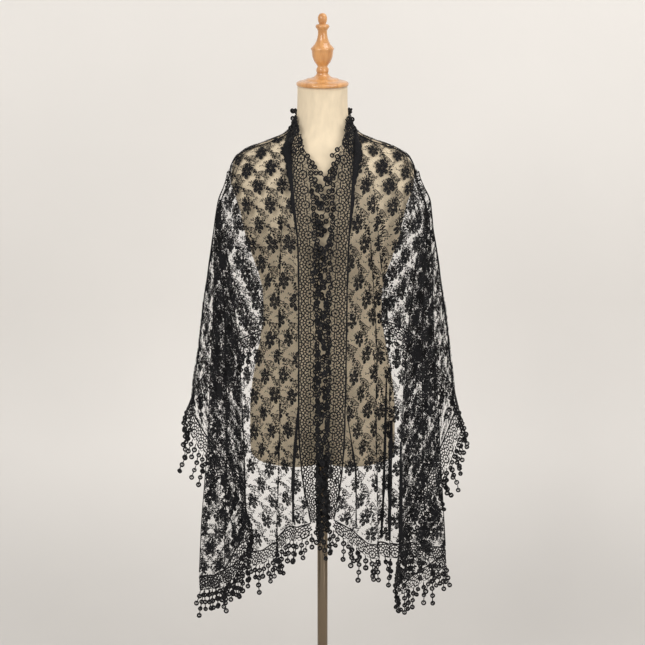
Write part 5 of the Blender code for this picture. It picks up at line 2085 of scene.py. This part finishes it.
def drop_direction(name, here, out, number):
    """The way in which a drop of the fringe hangs from a place on the trim's edge."""
    sway = math.sin(2.4 * number + 20 * here[0])
    if name == "trim_neck":
        lean = 0.30 * math.sin(2.1 * number)
        return unit((0.30 * out[0] + 6.0 * here[0], 0.55, 0.5 * lean - 0.25))
    if name.startswith("trim_front"):
        side = -1 if here[0] < 0 else 1
        room = max(0.0, abs(here[0]) / 0.040)
        if here[2] > NAPE_DROPS_Z:
            return unit((0.30 * side, -0.16, -0.55 - 0.2 * sway))
        if here[2] > THROAT_DROPS_Z:
            lean = min(0.62, room)
            return unit((-side * lean, -0.30, -math.sqrt(1 - lean**2)))
        if here[2] < LOW_DROPS_Z:
            return unit((-side * min(0.40, 0.7 * room), -0.04 * (number % 3), -1.0))
        reach = (0.50, 0.95, 0.70)[number % 3] if side > 0 else (0.55, 0.30, 0.75)[number % 3]
        lean = min(reach, room) + 0.08 * sway
        return unit((-side * lean, -0.10 * abs(sway) - 0.06 * (number % 3), -1.0))
    spread = 0.22 * float(np.sign(here[0])) if name.startswith("trim_side") else 0.0
    return unit((spread + 0.09 * sway, 0.07 * math.cos(1.7 * number), -1.0))


class SHAWL_OT_fringe(bpy.types.Operator):
    """Hangs the drops of small rings from the trim's outer edge"""

    bl_idname = "shawl.fringe"
    bl_label = "Ring fringe"

    def execute(self, context):
        settings = context.scene.shawl
        shape = ring_object(settings.ring_diameter)
        pitch = settings.ring_diameter * RING_PITCH
        for number, name in enumerate(TRIMS):
            chance = np.random.default_rng(settings.seed + FRINGE_SEED + number)
            strip = trim_strip(name)[0]
            edge = strip[:, -1]
            inner = strip[:, -2]
            gone = np.concatenate([[0.0], np.cumsum(np.linalg.norm(np.diff(edge, axis=0), axis=1))])
            spacing = settings.drop_spacing * (FRONT_SPACING if name.startswith("trim_front") else 1.0)
            count = max(2, int(round(gone[-1] / spacing)))
            points = []
            turns = []
            sizes = []
            for k in range(count):
                there = (k + 0.5) * gone[-1] / count
                here = np.array([np.interp(there, gone, edge[:, c]) for c in range(3)])
                root = np.array([np.interp(there, gone, inner[:, c]) for c in range(3)])
                fall = drop_direction(name, here, unit(here - root), k)
                rings = RINGS_IN_A_DROP[(k + number) % len(RINGS_IN_A_DROP)]
                if here[2] > NAPE_DROPS_Z:
                    rings = 1 + k % 2
                elif name == "trim_neck":
                    rings = 1
                elif name.startswith("trim_front") and here[2] < LONGER_DROPS_Z:
                    rings += 2 if here[2] < LONGEST_DROPS_Z else 1
                elif name.startswith("trim_side"):
                    rings += k % 2
                way = fall
                spot = here - fall * 0.001
                for ring in range(rings):
                    sway = chance.normal(0.0, DROP_SWAY, 3)
                    way = unit(way + sway * (1, 1, 0.3))
                    spot = spot + way * (pitch if ring else pitch * FIRST_RING)
                    spot = off_form(np.array([spot]), RING_CLEARANCE)[0]
                    points.append(spot)
                    turns.append(hang_turn(way, chance.normal(0.0, RING_TWIST)))
                    sizes.append(1.0 + chance.normal(0.0, RING_VARIES))
            dots = points_object("ring_points", points, turns, sizes)
            values = {"Shape": shape, "Material": guipure_material()}
            mesh = grown(dots, stand_tree(), values)
            finished("rings_" + name[5:], mesh, ["fringe_" + name[5:]])
            bpy.data.objects.remove(dots)
        bpy.data.objects.remove(shape)
        return {"FINISHED"}


def hang_turn(way, twist):
    """Turn that points a ring's link back along the way it hangs, twisted a little."""
    up = -np.asarray(way)
    tilt = math.atan2(up[0], up[2])
    lean = math.asin(max(-1.0, min(1.0, -up[1])))
    return (lean, tilt, twist * 0.6)


def sheet_object(name, points, faces, material):
    """A smooth sheet of the stage."""
    mesh = mesh_from(name, points, faces, None, material)
    for face in mesh.polygons:
        face.use_smooth = True
    made = bpy.data.objects.new(name, mesh)
    bpy.context.scene.collection.objects.link(made)
    return made


def area_light(name, place, aim, size, power, colour):
    """A rectangular light that faces its aim."""
    data = bpy.data.lights.new(name, "AREA")
    data.shape = "RECTANGLE"
    data.size = size[0]
    data.size_y = size[1]
    data.energy = power
    data.color = colour
    made = bpy.data.objects.new(name, data)
    way = np.asarray(aim, float) - np.asarray(place, float)
    flat = math.hypot(way[0], way[1])
    made.location = place
    made.rotation_euler = (math.atan2(flat, -way[2]), 0.0, math.atan2(-way[0], way[1]))
    bpy.context.scene.collection.objects.link(made)
    return made


class SHAWL_OT_stage(bpy.types.Operator):
    """Builds the pale floor and backdrop, the lights and the camera"""

    bl_idname = "shawl.stage"
    bl_label = "Stage"

    def execute(self, context):
        scene = context.scene
        profile = list(BACKDROP_FLOOR)
        for k in range(BACKDROP_CUTS + 1):
            a = k / BACKDROP_CUTS * math.pi / 2
            y = BACKDROP_BEND_Y + BACKDROP_BEND * math.sin(a)
            profile.append((y, BACKDROP_BEND * (1 - math.cos(a))))
        profile += BACKDROP_WALL
        points = [(x, y, z - BACKDROP_GAP) for y, z in profile for x in BACKDROP_X]
        faces = grid_faces(len(profile), len(BACKDROP_X), True)
        backdrop = sheet_object("backdrop", points, faces, wall_material())
        backdrop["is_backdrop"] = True
        world = bpy.data.worlds.new("studio")
        world.use_nodes = True
        sky = world.node_tree.nodes["Background"]
        sky.inputs["Color"].default_value = SKY_COLOUR
        sky.inputs["Strength"].default_value = SKY_STRENGTH
        scene.world = world
        for light in LIGHTS:
            area_light(*light)
        camera = bpy.data.cameras.new("camera")
        camera.sensor_width = 36.0
        camera.lens = CAMERA_LENS
        camera.clip_start = 0.05
        made = bpy.data.objects.new("camera", camera)
        made.location = CAMERA_PLACE
        made.rotation_euler = (math.radians(90.0 + CAMERA_PITCH), 0.0, 0.0)
        scene.collection.objects.link(made)
        scene.camera = made
        scene.view_settings.view_transform = "Standard"
        return {"FINISHED"}


class SHAWL_PT_panel(bpy.types.Panel):
    """Lists the steps that build the shawl and its stage"""

    bl_label = "Lace shawl"
    bl_idname = "SHAWL_PT_panel"
    bl_space_type = "VIEW_3D"
    bl_region_type = "UI"
    bl_category = "Lace shawl"

    def draw(self, context):
        for step in STEPS:
            self.layout.operator(step.bl_idname)


STEPS = (
    SHAWL_OT_form,
    SHAWL_OT_cap,
    SHAWL_OT_stand,
    SHAWL_OT_panels,
    SHAWL_OT_folds,
    SHAWL_OT_pattern,
    SHAWL_OT_trim,
    SHAWL_OT_fringe,
    SHAWL_OT_stage,
)
CLASSES = (ShawlSettings, FormSettings, *STEPS, SHAWL_PT_panel)


def register():
    """Makes the classes and settings known to Blender."""
    for item in CLASSES:
        bpy.utils.register_class(item)
    bpy.types.Scene.shawl = PointerProperty(type=ShawlSettings)
    bpy.types.Scene.form = PointerProperty(type=FormSettings)


def unregister():
    """Takes the classes and settings away again."""
    del bpy.types.Scene.shawl
    del bpy.types.Scene.form
    for item in reversed(CLASSES):
        bpy.utils.unregister_class(item)


def declare_cloth():
    """Looks up, for each panel, the flowers, folds, trims and rings that go with it; nothing is done with
    them.
    """
    sheets = (
        ("left", (0.50, 0.66), 0.250, ("front_left", "hem_left", "side_left")),
        ("right", (0.50, 0.66), 0.256, ("front_right", "hem_right", "side_right")),
        ("back", (0.56, 0.50), 0.240, ("neck", "back")),
    )
    for name, flat, area, edges in sheets:
        label = PANELS[name][0]
        others = [bpy.data.objects[label + "_flowers"]]
        if name != "back":
            others.append(bpy.data.objects["folds_front_" + name])
        for edge in edges:
            others += [bpy.data.objects["guipure_" + edge], bpy.data.objects["rings_" + edge]]


def main():
    """Builds everything in order and works out the object's box before and after."""
    register()
    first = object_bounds()
    for step in STEPS:
        group, name = step.bl_idname.split(".")
        done = getattr(getattr(bpy.ops, group), name)()
        if "FINISHED" not in done:
            raise RuntimeError(step.bl_label + " did not finish")
    declare_cloth()
    sizes = {"before": plain(first), "after": plain(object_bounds())}


def plain(value):
    """A box as lists of numbers."""
    if hasattr(value, "__len__") and not isinstance(value, (str, dict)):
        return [plain(v) for v in value]
    if isinstance(value, dict):
        return {k: plain(v) for k, v in value.items()}
    return value if isinstance(value, str) else float(value)


if __name__ == "__main__":
    main()
